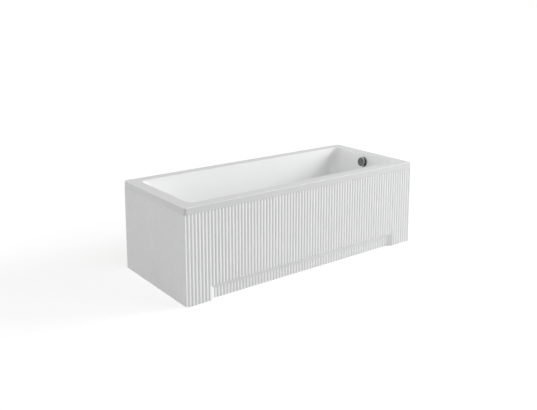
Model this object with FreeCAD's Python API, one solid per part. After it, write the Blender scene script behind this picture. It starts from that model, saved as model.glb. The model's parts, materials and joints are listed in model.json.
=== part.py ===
import FreeCAD, Part
import math
import os
from FreeCAD import Placement, Rotation, Vector

# Rectangular bathtub with reeded apron panels, levelling legs and a pop-up waste worked from the overflow.
# Millimetres and degrees. +X runs to the drain end, -Y is the front, +Z is up.
# The origin is on the floor under the middle of the tub.

# Tub shell
tub_length = 1700.0
tub_width = 700.0
floor_height = 140.0
basin_depth = 400.0
shell_wall = 5.0
lip_height = 38.0
rim_corner_radius = 12.0
rim_edge_radius = 3.0
rim_side = 72.0
rim_head_end = 70.0
rim_drain_end = 74.0
basin_top_radius = 42.0
basin_floor_radius = 140.0
basin_edge_radius = 8.0
floor_blend_radius = 85.0
side_slope = 6.0
backrest_slope = 28.0
drain_end_slope = 10.0
waste_from_end = 135.0
waste_dish_gap = 6.0
waste_dish_depth = 8.0
waste_hole_gap = 2.0
overflow_drop = 54.0
overflow_hole_radius = 26.0

# Stiffening under the shell
board_thickness = 18.0
board_waste_gap = 40.0
rim_rail_width = 30.0
rim_rail_thickness = 18.0
rim_rail_gap = 7.0
head_rail_gap = 15.0

# Apron panels
panel_inset = 2.0
panel_sheet = 4.0
panel_top_gap = 0.8
panel_tongue = 24.0
tongue_sheet = 3.0
reed_pitch = 21.25
reed_height = 5.0
reed_valley_radius = 3.0
toe_reeds_in = 9
toe_height = 88.0
toe_depth = 20.0
toe_side_run = 43.0
toe_top_run = 38.0
plinth_stand_off = 1.0
toe_skin_lap = 3.0

# Panel fixings
clip_width = 40.0
clip_thickness = 1.5
clip_drop = 20.0
clip_screw_reach = 15.0
clip_tail = 7.5
clip_lead = 7.0
clip_lead_run = 3.0
front_clip_spacing = 560.0
end_clip_spacing = 400.0
bracket_width = 40.0
bracket_height = 45.0
bracket_screw_height = 30.0
bracket_reach = 50.0
bracket_thickness = 2.0
bracket_bend_radius = 4.0
bracket_hole_radius = 2.75
bracket_hole_reach = 30.0
front_bracket_spacing = 620.0
end_bracket_spacing = 360.0
screw_radius = 2.0
screw_head_radius = 4.0
screw_head_height = 2.5
screw_fit = 0.1
panel_screw_bite = 3.0
wood_screw_bite = 12.0

# Leg frame
leg_rail_width = 42.0
leg_rail_height = 26.0
leg_rail_sheet = 2.0
leg_rail_bend_radius = 5.0
leg_rail_overhang = 26.0
leg_inset = 100.0
foot_panel_gap = 46.0
leg_screw_spacing = 80.0
leg_screws_per_rail = 4
stud_radius = 6.0
stud_above_rail = 24.0
stud_fit = 0.3
nut_flats = 18.0
nut_height = 9.0
foot_radius = 28.0
foot_bevel = 2.0
foot_rim_height = 7.0
foot_height = 26.0
foot_neck_radius = 11.0
foot_socket_floor = 6.0
foot_socket_fit = 0.1

# Overflow and its turning knob
gasket_thickness = 3.0
gasket_radius = 36.0
overflow_flange_thickness = 4.0
overflow_cup_radius = 30.0
overflow_cup_depth = 40.0
overflow_cup_wall = 3.0
overflow_spigot_offset = 24.0
overflow_bar_width = 12.0
bearing_boss_radius = 9.0
bearing_length = 6.0
plate_radius = 35.5
plate_height = 7.0
plate_edge_height = 2.0
plate_slant = 3.0
plate_wall = 2.5
plate_hub_radius = 9.0
plate_port_radius = 4.0
plate_port_circle = 22.0
plate_port_count = 8
plate_screw_offset = 18.0
knob_radius = 30.0
knob_thickness = 10.0
knob_gap = 11.0
knob_dish_depth = 2.5
knob_rim_width = 5.0
knob_edge_radius = 3.0
knob_socket_depth = 5.0
spindle_radius = 5.0
spindle_end_gap = 0.3
running_fit = 0.08
drum_radius = 17.0
drum_width = 7.0
drum_groove = 2.0
drum_bearing_gap = 3.0

# Overflow pipe and pull cable
pipe_radius = 20.0
pipe_wall = 2.5
pipe_bend_radius = 48.0
socket_fit = 0.1
socket_wall = 3.0
socket_length = 26.0
socket_neck = 12.0
union_wall = 5.0
union_overlap = 15.0
union_end = 6.0
union_ribs = 16
union_rib_radius = 1.8
union_fit = 0.1
pipe_seal_length = 3.0
cable_radius = 2.5
cable_fit = 0.1
cable_web_width = 10.0
cable_web_height = 5.0
cable_tail = 2.0

# Drain and its pop-up plug
seal_thickness = 2.0
drain_flange_radius = 36.0
drain_flange_thickness = 4.0
drain_flange_bevel = 1.5
drain_seat_gap = 0.6
drain_seat_depth = 2.0
drain_sleeve_radius = 24.0
drain_sleeve_wall = 3.0
drain_sleeve_length = 26.0
sleeve_fit = 0.1
spider_height = 5.0
spider_bar_width = 4.0
spider_hub_radius = 7.5
lower_seal_thickness = 3.0
body_flange_width = 6.0
body_flange_thickness = 4.0
body_radius = 36.0
body_wall = 4.0
body_height = 60.0
inlet_drop = 36.0
plug_radius = 28.0
plug_thickness = 3.0
plug_crown = 1.5
plug_seal_width = 5.0
plug_seal_thickness = 1.5
plug_rest_gap = 0.2
stem_radius = 4.0
lever_arm = 22.0
lever_droop = 14.5
lever_pivot_height = 14.0
lever_hub_radius = 5.0
lever_pull_arm = 12.0
lever_thickness = 4.0
lever_width = 10.0
lever_tip_radius = 3.0
lever_tip_gap = 0.3
lever_pin_radius = 2.0
lever_pin_inset = 1.0
lever_pin_fit = 0.05

# Trap and outlet
trap_radius = 46.0
trap_wall = 4.0
trap_height = 46.0
dip_radius = 22.0
dip_wall = 3.0
dip_floor_gap = 14.0
trap_fit = 0.2
trap_nut_height = 12.0
trap_nut_wall = 8.0
outlet_drop = 21.0
outlet_tube_radius = 20.0
outlet_tube_wall = 3.5
outlet_bore_radius = 20.1
outlet_wall = 3.9
outlet_socket_length = 45.0
outlet_socket_shoulder = 4.0
outlet_reach = 135.0
outlet_seal_fit = 0.3
outlet_nut_fit = 0.6
outlet_seal_length = 5.0
cap_boss_radius = 12.0
cap_boss_wall = 3.0
cap_boss_length = 8.0
cap_wall = 5.0
cap_end = 4.0

# Levels and places that follow from the sizes above
half_length = tub_length / 2
half_width = tub_width / 2
tub_height = floor_height + basin_depth
rim_under = tub_height - shell_wall
lip_bottom = tub_height - lip_height
floor_under = floor_height - shell_wall
board_under = floor_under - board_thickness
panel_length = tub_length - 2 * panel_inset
panel_width = tub_width - 2 * panel_inset
panel_top = lip_bottom - panel_top_gap
panel_back = reed_height + panel_sheet
rim_rail_under = rim_under - rim_rail_thickness
plinth_back = toe_depth + panel_back
toe_recess_depth = toe_depth + reed_height + plinth_stand_off
dish_floor = floor_height - waste_dish_depth
dish_under = dish_floor - shell_wall
drain_flange_under = dish_floor + seal_thickness
drain_flange_top = drain_flange_under + drain_flange_thickness
drain_seat = drain_flange_top - drain_seat_depth
sleeve_bottom = drain_flange_under - drain_sleeve_length
body_top = dish_under - lower_seal_thickness
body_bottom = body_top - body_height
body_chamber_floor = body_bottom + body_wall
inlet_height = body_top - inlet_drop
trap_top = body_bottom - trap_nut_height
trap_bottom = trap_top - trap_height
pipe_bore_radius = pipe_radius - pipe_wall
socket_radius = pipe_radius + socket_fit + socket_wall
union_bore_radius = socket_radius + union_fit
waste_dish_radius = drain_flange_radius + waste_dish_gap
waste_hole_radius = drain_sleeve_radius + waste_hole_gap
drain_seat_radius = plug_radius + drain_seat_gap
body_flange_radius = body_radius + body_flange_width
cut_margin = 5.0
touch = 0.01

UP = Vector(0, 0, 1)
DOWN = Vector(0, 0, -1)
TO_DRAIN_END = Vector(1, 0, 0)
TO_HEAD_END = Vector(-1, 0, 0)
TO_BACK = Vector(0, 1, 0)
TO_FRONT = Vector(0, -1, 0)


def lean(angle):
    """Sideways run, per unit of height, of a wall that leans by angle from upright."""
    return math.tan(math.radians(angle))


def polar(radius, angle):
    """Point in the XY plane at an angle in degrees."""
    return Vector(radius * math.cos(math.radians(angle)), radius * math.sin(math.radians(angle)), 0)


def arc(start, middle, end):
    return Part.Arc(start, middle, end).toShape()


def line(start, end):
    return Part.LineSegment(start, end).toShape()


def cylinder(radius, length, base, direction=UP):
    return Part.makeCylinder(radius, length, base, direction)


def ring(outer, inner, length, base, direction=UP):
    return cylinder(outer, length, base, direction).cut(cylinder(inner, length, base, direction))


def box(low, high):
    """Box between its lowest and its highest corner."""
    size = high - low
    return Part.makeBox(size.x, size.y, size.z, low)


def fused(first, *others):
    return first.fuse(list(others)).removeSplitter()


def flat_face(points):
    return Part.Face(Part.makePolygon(points + points[:1]))


def prism(points, direction):
    """Straight solid from a closed outline of points."""
    return flat_face(points).extrude(direction)


def revolved(outline, base):
    """Upright solid of revolution on base, from (radius, height) points."""
    points = [base + Vector(radius, 0, height) for radius, height in outline]
    return flat_face(points).revolve(base, UP, 360)


def closed_solid(faces):
    """Solid that the faces close in."""
    return Part.makeSolid(Part.Shell(faces)).removeSplitter()


def frustum(near, far):
    """Flat-faced solid between two four-cornered outlines."""
    faces = [flat_face(near), flat_face(far)]
    for corner in range(4):
        after = (corner + 1) % 4
        faces.append(flat_face([near[corner], near[after], far[after], far[corner]]))
    return closed_solid(faces)


def rounded_rectangle(low_x, high_x, low_y, high_y, radius, height):
    """Closed wire of four lines and four quarter arcs at one height."""
    centres = [(high_x - radius, high_y - radius), (low_x + radius, high_y - radius),
               (low_x + radius, low_y + radius), (high_x - radius, low_y + radius)]
    corners = []
    for quarter, (centre_x, centre_y) in enumerate(centres):
        centre = Vector(centre_x, centre_y, height)
        corners.append([centre + polar(radius, 90 * quarter + turn) for turn in (0, 45, 90)])
    edges = []
    for quarter, corner in enumerate(corners):
        edges.append(arc(*corner))
        edges.append(line(corner[2], corners[(quarter + 1) % 4][0]))
    return Part.Wire(edges)


def screw(seat, direction, length):
    """Screw with its head on the seat and its shank along direction."""
    head = cylinder(screw_head_radius, screw_head_height, seat, direction * -1)
    return fused(head, cylinder(screw_radius, length, seat, direction))


def screw_hole(seat, direction, length):
    return cylinder(screw_radius + screw_fit, length, seat, direction)


def hexagon_nut(base):
    corner = nut_flats / 2 / math.cos(math.radians(30))
    blank = prism([base + polar(corner, 60 * side) for side in range(6)], UP * nut_height)
    return blank.cut(cylinder(stud_radius + stud_fit, nut_height, base))


def union_nut(socket_end, direction):
    """Ribbed hand nut that grips a pipe where it enters a socket, with room for a seal."""
    outer = union_bore_radius + union_wall
    base = socket_end - direction * union_overlap
    length = union_overlap + pipe_seal_length + union_end
    nut = cylinder(outer, length, base, direction)
    turn = Rotation(UP, direction)
    ribs = []
    for rib in range(union_ribs):
        offset = turn.multVec(polar(outer, 360 * rib / union_ribs))
        ribs.append(cylinder(union_rib_radius, length, base + offset, direction))
    socket_room = cylinder(union_bore_radius, union_overlap + pipe_seal_length, base, direction)
    pipe_room = cylinder(pipe_radius + union_fit, length, base, direction)
    return nut.fuse(ribs).cut([socket_room, pipe_room]).removeSplitter()


def pipe_seal(socket_end, direction):
    return ring(socket_radius, pipe_radius + union_fit, pipe_seal_length, socket_end, direction)


# Places on the shell
def basin_half_width(height):
    return half_width - rim_side - (tub_height - height) * lean(side_slope)


def basin_head_x(height):
    return rim_head_end - half_length + (tub_height - height) * lean(backrest_slope)


def basin_drain_x(height):
    return half_length - rim_drain_end - (tub_height - height) * lean(drain_end_slope)


def drain_point(height):
    """Point on the upright axis of the drain."""
    return Vector(basin_drain_x(floor_height) - waste_from_end, 0, height)


overflow_height = tub_height - overflow_drop
overflow_point = Vector(basin_drain_x(overflow_height), 0, overflow_height)
overflow_turn = Rotation(TO_BACK, drain_end_slope - 90)
wall_through = shell_wall * math.cos(math.radians(drain_end_slope))
overflow_seat = -wall_through - gasket_thickness
overflow_cup_end = overflow_seat - overflow_cup_depth


def at_overflow(shape):
    """Moves a shape made about the Z axis to the overflow, with zero on the wall and +Z into the basin."""
    shape.Placement = Placement(overflow_point, overflow_turn).multiply(shape.Placement)
    return shape


spigot_axis = overflow_point + overflow_turn.multVec(UP) * (overflow_seat - overflow_spigot_offset)
down_socket_end = spigot_axis + DOWN * (overflow_cup_radius + socket_neck + socket_length)


# Tub shell and its stiffening
def basin_outline(height, grow):
    share = (tub_height - height) / basin_depth
    radius = basin_top_radius + (basin_floor_radius - basin_top_radius) * share
    side = basin_half_width(height) + grow
    return rounded_rectangle(basin_head_x(height) - grow, basin_drain_x(height) + grow,
                             -side, side, radius + grow, height)


def wall_between(lower, upper):
    """Flat wall between two level lines, or round corner between two level arcs."""
    if lower.Curve.TypeId != "Part::GeomLine":
        return Part.makeRuledSurface(lower, upper)
    corners = [(lower, 0), (lower, 1), (upper, 1), (upper, 0)]
    return flat_face([edge.Vertexes[end].Point for edge, end in corners])


def basin_form(bottom, top, grow):
    """Solid with the basin's shape from bottom to top, its walls pushed out by grow."""
    low = basin_outline(bottom, grow)
    high = basin_outline(top, grow)
    walls = [wall_between(lower, upper) for lower, upper in zip(low.OrderedEdges, high.OrderedEdges)]
    form = closed_solid([Part.Face(low), Part.Face(high)] + walls)
    floor_edges = [edge for edge in form.Edges if edge.BoundBox.ZMax < bottom + cut_margin]
    return form.makeFillet(floor_blend_radius + grow, floor_edges)


def rim_block(inset, bottom, top):
    reach_x = half_length - inset
    reach_y = half_width - inset
    outline = rounded_rectangle(-reach_x, reach_x, -reach_y, reach_y, rim_corner_radius - inset, bottom)
    return Part.Face(outline).extrude(UP * (top - bottom))


def edges_at_top(shape, reach):
    """Edges in the rim's top plane that lie within reach of the tub's long axis."""
    at_top = [edge for edge in shape.Edges if edge.BoundBox.ZMin > tub_height - touch]
    return [edge for edge in at_top if -reach < edge.BoundBox.YMin and edge.BoundBox.YMax < reach]


def tub_shell():
    rim = rim_block(0, lip_bottom, tub_height)
    rim = rim.makeFillet(rim_edge_radius, edges_at_top(rim, tub_width))
    rim = rim.cut(rim_block(shell_wall, lip_bottom, rim_under))
    outside = basin_form(floor_under, rim_under + shell_wall / 2, shell_wall)
    inside = basin_form(floor_height, tub_height + cut_margin, 0)
    dish_outside = cylinder(waste_dish_radius + shell_wall, waste_dish_depth + shell_wall,
                            drain_point(dish_under))
    dish_inside = cylinder(waste_dish_radius, waste_dish_depth + cut_margin, drain_point(dish_floor))
    shell = rim.fuse([outside, dish_outside]).cut([inside, dish_inside])
    mouth = edges_at_top(shell, half_width - rim_side / 2)
    shell = shell.makeFillet(basin_edge_radius, mouth)
    waste_hole = cylinder(waste_hole_radius, floor_height, drain_point(0))
    overflow_hole = cylinder(overflow_hole_radius, 3 * shell_wall, DOWN * 2 * shell_wall)
    return shell.cut([waste_hole, at_overflow(overflow_hole)]).removeSplitter()


board_head_x = basin_head_x(floor_height) + floor_blend_radius
board_drain_x = drain_point(0).x - body_flange_radius - board_waste_gap
board_half_width = basin_half_width(floor_height) - floor_blend_radius


def base_board():
    board = box(Vector(board_head_x, -board_half_width, board_under),
                Vector(board_drain_x, board_half_width, floor_under))
    upright = [edge for edge in board.Edges if edge.BoundBox.ZLength > board_thickness / 2]
    return board.makeFillet(board_thickness, upright).cut(leg_screw_holes())


rail_outside = panel_inset + panel_back + rim_rail_gap
rail_inside = rail_outside + rim_rail_width
head_rail_inside = rim_head_end - shell_wall - head_rail_gap


def rim_side_rail(side):
    """Timber rail under the front rim (side -1) or the back rim (side 1)."""
    reach = half_length - rail_outside
    edges = sorted([side * (half_width - rail_inside), side * (half_width - rail_outside)])
    rail = box(Vector(-reach, edges[0], rim_rail_under), Vector(reach, edges[1], rim_under))
    return rail.cut(clip_screw_holes())


def rim_head_rail():
    reach = half_width - rail_inside
    rail = box(Vector(rail_outside - half_length, -reach, rim_rail_under),
               Vector(head_rail_inside - half_length, reach, rim_under))
    return rail.cut(clip_screw_holes())


# Apron panels: along is measured from the near corner, inward from the crests of the reeds
def front_side(along, inward, height=0):
    return Vector(panel_inset - half_length + along, panel_inset - half_width + inward, height)


def head_side(along, inward, height=0):
    return Vector(panel_inset - half_length + inward, panel_inset - half_width + along, height)


def reed_count(length):
    return round(length / reed_pitch)


def reed_wave(place, first, last, pitch, depth):
    """Edges of the reeds between two crests: round crests that run into narrower round valleys."""
    flank = 2 * math.atan(2 * reed_height / pitch)
    crest_radius = pitch / 2 / math.sin(flank) - reed_valley_radius

    def on_crest(crest, turn):
        return place(crest + crest_radius * math.sin(turn), depth + crest_radius * (1 - math.cos(turn)))

    edges = [arc(*[on_crest(first * pitch, turn) for turn in (0, flank / 2, flank)])]
    for number in range(first, last):
        here = number * pitch
        after = here + pitch
        valley = place(here + pitch / 2, depth + reed_height)
        edges.append(arc(on_crest(here, flank), valley, on_crest(after, -flank)))
        stop = 0 if number + 1 == last else flank
        edges.append(arc(*[on_crest(after, turn) for turn in (-flank, (stop - flank) / 2, stop)]))
    return edges


def reeded_sheet(place, first, last, pitch, depth, mitre, height):
    """Sheet with reeds on its face and a flat back, whose first end is cut back by mitre."""
    back = depth + panel_back
    start = place(first * pitch, depth)
    end = place(last * pitch, depth)
    back_end = place(last * pitch, back)
    back_start = place(first * pitch + mitre, back)
    edges = reed_wave(place, first, last, pitch, depth)
    edges += [line(end, back_end), line(back_end, back_start), line(back_start, start)]
    return Part.Face(Part.Wire(edges)).extrude(UP * height)


def panel_tongue_strip(place, length):
    """Flat upper edge of a panel that stands behind the rim's lip."""
    margin = rim_corner_radius - panel_inset
    return box(place(margin, panel_back - tongue_sheet, panel_top),
               place(length - margin, panel_back, panel_top + panel_tongue))


def toe_outline(inward, wall, bottom):
    """Corners of the toe recess at a depth behind the panel's face, pushed out by a wall's thickness."""
    share = inward / toe_recess_depth
    pitch = panel_length / reed_count(panel_length)
    grow_along = wall * math.hypot(toe_side_run, toe_recess_depth) / toe_recess_depth
    grow_up = wall * math.hypot(toe_top_run, toe_recess_depth) / toe_recess_depth
    low = toe_reeds_in * pitch - toe_side_run * (1 - share) - grow_along
    high = panel_length - low
    top = toe_height - toe_top_run * share + grow_up
    return [front_side(low, inward, bottom), front_side(high, inward, bottom),
            front_side(high, inward, top), front_side(low, inward, top)]


def front_panel():
    count = reed_count(panel_length)
    pitch = panel_length / count
    sheet = reeded_sheet(front_side, 0, count, pitch, 0, panel_back, panel_top)
    backing = frustum(toe_outline(toe_depth, panel_sheet / 2, 0),
                      toe_outline(plinth_back, panel_sheet / 2, 0))
    plinth = reeded_sheet(front_side, toe_reeds_in - 1, count - toe_reeds_in + 1, pitch, toe_depth, 0,
                          toe_height).common(backing)
    recess = frustum(toe_outline(-cut_margin, 0, -cut_margin), toe_outline(toe_recess_depth, 0, -cut_margin))
    skin_front = panel_back - toe_skin_lap
    skin = frustum(toe_outline(skin_front, panel_sheet, 0), toe_outline(plinth_back, panel_sheet, 0))
    tongue = panel_tongue_strip(front_side, panel_length)
    panel = fused(sheet.cut(recess), skin.cut(recess), plinth, tongue)
    return panel.cut(bracket_screw_holes())


def head_panel():
    count = reed_count(panel_width)
    sheet = reeded_sheet(head_side, 0, count, panel_width / count, 0, panel_back, panel_top)
    return fused(sheet, panel_tongue_strip(head_side, panel_width)).cut(bracket_screw_holes())


# Clips that press the panels' tongues against the lip
clip_places = [(front_side, panel_length / 2 + step * front_clip_spacing) for step in (-1, 0, 1)]
clip_places += [(head_side, panel_width / 2 + step * end_clip_spacing / 2) for step in (-1, 1)]
clip_under = rim_rail_under - clip_thickness
clip_screw_inward = panel_back + rim_rail_gap + clip_screw_reach


def panel_clip(place, along):
    start = along - clip_width / 2
    knee = clip_under - clip_drop
    end = clip_screw_inward + clip_tail
    outline = [(panel_back, rim_rail_under), (panel_back, knee),
               (panel_back + clip_lead_run, knee - clip_lead),
               (panel_back + clip_lead_run + clip_thickness, knee - clip_lead),
               (panel_back + clip_thickness, knee), (panel_back + clip_thickness, clip_under),
               (end, clip_under), (end, rim_rail_under)]
    points = [place(start, inward, height) for inward, height in outline]
    clip = prism(points, place(clip_width, 0) - place(0, 0))
    return clip.cut(screw_hole(place(along, clip_screw_inward, clip_under), UP, clip_thickness))


def clip_screw_seats():
    return [place(along, clip_screw_inward, clip_under) for place, along in clip_places]


def clip_screw_holes():
    return [screw_hole(seat, UP, clip_thickness + wood_screw_bite) for seat in clip_screw_seats()]


def panel_clips():
    return [panel_clip(place, along) for place, along in clip_places]


def panel_clip_screws():
    return [screw(seat, UP, clip_thickness + wood_screw_bite) for seat in clip_screw_seats()]


# Brackets that hold the panels' feet to the floor
bracket_places = []
for step in (-1, 1):
    bracket_places.append((front_side, panel_length / 2 + step * front_bracket_spacing / 2, plinth_back))
    bracket_places.append((head_side, panel_width / 2 + step * end_bracket_spacing / 2, panel_back))


def bracket_screw_seat(place, along, back):
    return place(along, back + bracket_thickness, bracket_screw_height)


def panel_bracket(place, along, back):
    """Sheet-metal angle with a rounded bend, one hole for the panel and one for the floor."""
    start = along - bracket_width / 2
    width = place(bracket_width, 0) - place(0, 0)
    profile = [(back, 0), (back + bracket_reach, 0), (back + bracket_reach, bracket_thickness),
               (back + bracket_thickness, bracket_thickness), (back + bracket_thickness, bracket_height),
               (back, bracket_height)]
    angle = prism([place(start, inward, height) for inward, height in profile], width)
    inner_bend = place(start, back + bracket_thickness, bracket_thickness)
    bend = [edge for edge in angle.Edges
            if all((vertex.Point - inner_bend).cross(width).Length < touch for vertex in edge.Vertexes)]
    angle = angle.makeFillet(bracket_bend_radius, bend)
    inward = place(0, 1) - place(0, 0)
    floor_hole = cylinder(bracket_hole_radius, bracket_thickness, place(along, back + bracket_hole_reach))
    panel_hole = screw_hole(bracket_screw_seat(place, along, back), inward * -1, bracket_thickness)
    return angle.cut([floor_hole, panel_hole])


def panel_floor_brackets():
    return [panel_bracket(*bracket) for bracket in bracket_places]


def at_bracket_screws(make):
    """One screw, or one screw hole, at each bracket, pointing out of the tub."""
    made = []
    for place, along, back in bracket_places:
        outward = place(0, 0) - place(0, 1)
        seat = bracket_screw_seat(place, along, back)
        made.append(make(seat, outward, bracket_thickness + panel_screw_bite))
    return made


def bracket_screw_holes():
    return at_bracket_screws(screw_hole)


def panel_bracket_screws():
    return at_bracket_screws(screw)


# Leg frame
leg_reach = half_width - panel_inset - plinth_back - foot_panel_gap - foot_radius
leg_rails = {"head": board_head_x + leg_inset, "drain": board_drain_x - leg_inset}
leg_sides = {"front": -leg_reach, "back": leg_reach}
leg_web_under = board_under - leg_rail_sheet


def leg_screw_seats(rail_x):
    first = -leg_screw_spacing * (leg_screws_per_rail - 1) / 2
    places = [first + leg_screw_spacing * number for number in range(leg_screws_per_rail)]
    return [Vector(rail_x, place, leg_web_under) for place in places]


def leg_screw_holes():
    return [screw_hole(seat, UP, leg_rail_sheet + wood_screw_bite)
            for rail_x in leg_rails.values() for seat in leg_screw_seats(rail_x)]


def leg_rail_screws():
    return [screw(seat, UP, leg_rail_sheet + wood_screw_bite)
            for rail_x in leg_rails.values() for seat in leg_screw_seats(rail_x)]


def leg_rail(rail_x):
    """Folded steel channel, open below, with holes for its screws and its two studs."""
    reach = leg_reach + leg_rail_overhang
    outside = box(Vector(rail_x - leg_rail_width / 2, -reach, board_under - leg_rail_height),
                  Vector(rail_x + leg_rail_width / 2, reach, board_under))
    top_edges = [edge for edge in outside.Edges
                 if edge.BoundBox.YLength > reach and edge.BoundBox.ZMin > board_under - leg_rail_sheet]
    outside = outside.makeFillet(leg_rail_bend_radius, top_edges)
    half_room = leg_rail_width / 2 - leg_rail_sheet
    inside = box(Vector(rail_x - half_room, -reach, board_under - leg_rail_height),
                 Vector(rail_x + half_room, reach, leg_web_under))
    room_edges = [edge for edge in inside.Edges
                  if edge.BoundBox.YLength > reach and edge.BoundBox.ZMin > leg_web_under - leg_rail_sheet]
    inside = inside.makeFillet(leg_rail_bend_radius - leg_rail_sheet, room_edges)
    holes = [screw_hole(seat, UP, leg_rail_sheet) for seat in leg_screw_seats(rail_x)]
    for side_y in leg_sides.values():
        holes.append(cylinder(stud_radius + stud_fit, leg_rail_sheet, Vector(rail_x, side_y, leg_web_under)))
    return outside.cut(inside).cut(holes)


def leg_lock_nuts():
    nuts = []
    for rail_x in leg_rails.values():
        for side_y in leg_sides.values():
            nuts.append(hexagon_nut(Vector(rail_x, side_y, board_under)))
            nuts.append(hexagon_nut(Vector(rail_x, side_y, leg_web_under - nut_height)))
    return nuts


def leg_stud(rail_x, side_y):
    length = board_under + stud_above_rail - foot_socket_floor
    return cylinder(stud_radius, length, Vector(rail_x, side_y, foot_socket_floor))


def foot_pad(rail_x, side_y):
    socket = stud_radius + foot_socket_fit
    outline = [(0, 0), (foot_radius - foot_bevel, 0), (foot_radius, foot_bevel),
               (foot_radius, foot_rim_height),
               (foot_neck_radius, foot_height - foot_rim_height), (foot_neck_radius, foot_height),
               (socket, foot_height), (socket, foot_socket_floor), (0, foot_socket_floor)]
    return revolved(outline, Vector(rail_x, side_y, 0))


# Overflow, made about the Z axis with zero on the basin wall
plate_screw_length = plate_height - overflow_seat + overflow_flange_thickness
knob_back = plate_height + knob_gap
spindle_end = overflow_cup_end + overflow_cup_wall + spindle_end_gap


def overflow_gasket():
    return at_overflow(ring(gasket_radius, overflow_hole_radius, gasket_thickness, UP * overflow_seat))


def overflow_body():
    """Cup behind the wall with a spindle bearing, a clamping bar and a spigot for the down pipe."""
    flange = cylinder(gasket_radius, overflow_flange_thickness, UP * overflow_seat, DOWN)
    cup = cylinder(overflow_cup_radius, overflow_cup_depth, UP * overflow_cup_end)
    spigot_length = spigot_axis.z - down_socket_end.z
    spigot = cylinder(socket_radius, spigot_length, down_socket_end)
    outside = fused(at_overflow(flange.fuse(cup)), spigot)
    chamber_radius = overflow_cup_radius - overflow_cup_wall
    chamber_end = UP * (overflow_cup_end + overflow_cup_wall)
    chamber = cylinder(chamber_radius, overflow_cup_depth - overflow_cup_wall, chamber_end)
    socket = cylinder(pipe_radius + socket_fit, socket_length, down_socket_end)
    neck = cylinder(pipe_bore_radius, spigot_length, down_socket_end)
    boss = cylinder(bearing_boss_radius, bearing_length + overflow_cup_wall, UP * overflow_cup_end)
    bar = box(Vector(-overflow_bar_width / 2, -chamber_radius - overflow_cup_wall / 2,
                     overflow_seat - overflow_flange_thickness),
              Vector(overflow_bar_width / 2, chamber_radius + overflow_cup_wall / 2, overflow_seat))
    web_base = down_socket_end + UP * (socket_length + cable_tail)
    web_reach = pipe_bore_radius + socket_wall / 2
    web = box(web_base + Vector(-cable_web_width / 2, -web_reach, 0),
              web_base + Vector(cable_web_width / 2, web_reach, cable_web_height))
    bearing = cylinder(spindle_radius + running_fit, overflow_cup_depth, chamber_end)
    screw_ways = [screw_hole(seat, DOWN, plate_screw_length) for seat in plate_screw_seats()]
    cable_way = cylinder(cable_radius + cable_fit, cable_web_height, web_base)
    body = outside.cut([at_overflow(chamber), neck, socket])
    body = fused(body, at_overflow(boss.fuse(bar)), web)
    return body.cut([at_overflow(bearing), cable_way] + [at_overflow(way) for way in screw_ways])


def plate_screw_seats():
    return [Vector(0, side * plate_screw_offset, plate_height) for side in (-1, 1)]


def overflow_plate():
    """Round rosette with slanted rim, hub and a circle of water ports."""
    top_radius = plate_radius - plate_slant
    bore = spindle_radius + running_fit
    ceiling = plate_height - plate_wall
    outline = [(bore, 0), (plate_hub_radius, 0), (plate_hub_radius, ceiling),
               (top_radius - plate_wall, ceiling),
               (plate_radius - plate_wall, plate_edge_height), (plate_radius - plate_wall, 0),
               (plate_radius, 0), (plate_radius, plate_edge_height), (top_radius, plate_height),
               (bore, plate_height)]
    plate = revolved(outline, Vector(0, 0, 0))
    holes = [screw_hole(seat, DOWN, plate_height) for seat in plate_screw_seats()]
    for port in range(plate_port_count):
        place = polar(plate_port_circle, 360 * (port + 0.5) / plate_port_count)
        holes.append(cylinder(plate_port_radius, plate_height, place))
    return at_overflow(plate.cut(holes))


def overflow_plate_screws():
    return [at_overflow(screw(seat, DOWN, plate_screw_length)) for seat in plate_screw_seats()]


def overflow_knob():
    """Round knob with a dished face, a raised round rim and a socket for its spindle."""
    front = knob_back + knob_thickness
    round_off = knob_edge_radius * (1 - math.sqrt(0.5))
    dish_edge = knob_radius - knob_rim_width
    points = [Vector(0, 0, knob_back + knob_socket_depth),
              Vector(spindle_radius, 0, knob_back + knob_socket_depth), Vector(spindle_radius, 0, knob_back),
              Vector(knob_radius - knob_edge_radius, 0, knob_back),
              Vector(knob_radius, 0, knob_back + knob_edge_radius),
              Vector(knob_radius, 0, front - knob_edge_radius),
              Vector(knob_radius - knob_edge_radius, 0, front), Vector(dish_edge, 0, front),
              Vector(0, 0, front - knob_dish_depth)]
    dish_radius = (dish_edge ** 2 + knob_dish_depth ** 2) / (2 * knob_dish_depth)
    half_turn = math.asin(dish_edge / dish_radius) / 2
    dish_middle = Vector(dish_radius * math.sin(half_turn), 0,
                         front - knob_dish_depth + dish_radius * (1 - math.cos(half_turn)))
    edges = [line(points[0], points[1]), line(points[1], points[2]), line(points[2], points[3]),
             arc(points[3], Vector(knob_radius - round_off, 0, knob_back + round_off), points[4]),
             line(points[4], points[5]),
             arc(points[5], Vector(knob_radius - round_off, 0, front - round_off), points[6]),
             line(points[6], points[7]),
             arc(points[7], dish_middle, points[8]),
             line(points[8], points[0])]
    return at_overflow(Part.Face(Part.Wire(edges)).revolve(Vector(0, 0, 0), UP, 360))


def overflow_spindle():
    length = knob_back + knob_socket_depth - spindle_end
    return at_overflow(cylinder(spindle_radius, length, UP * spindle_end))


def cable_drum():
    """Grooved wheel on the spindle that winds the pull cable."""
    base = overflow_cup_end + overflow_cup_wall + bearing_length + drum_bearing_gap
    outline = [(spindle_radius, 0), (drum_radius, 0), (drum_radius - drum_groove, drum_width / 2),
               (drum_radius, drum_width), (spindle_radius, drum_width)]
    return at_overflow(revolved(outline, UP * base))


# Overflow pipe and the pull cable inside it
inlet_neck_end = drain_point(inlet_height) + TO_DRAIN_END * (body_radius + socket_neck)
inlet_socket_end = inlet_neck_end + TO_DRAIN_END * socket_length


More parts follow.
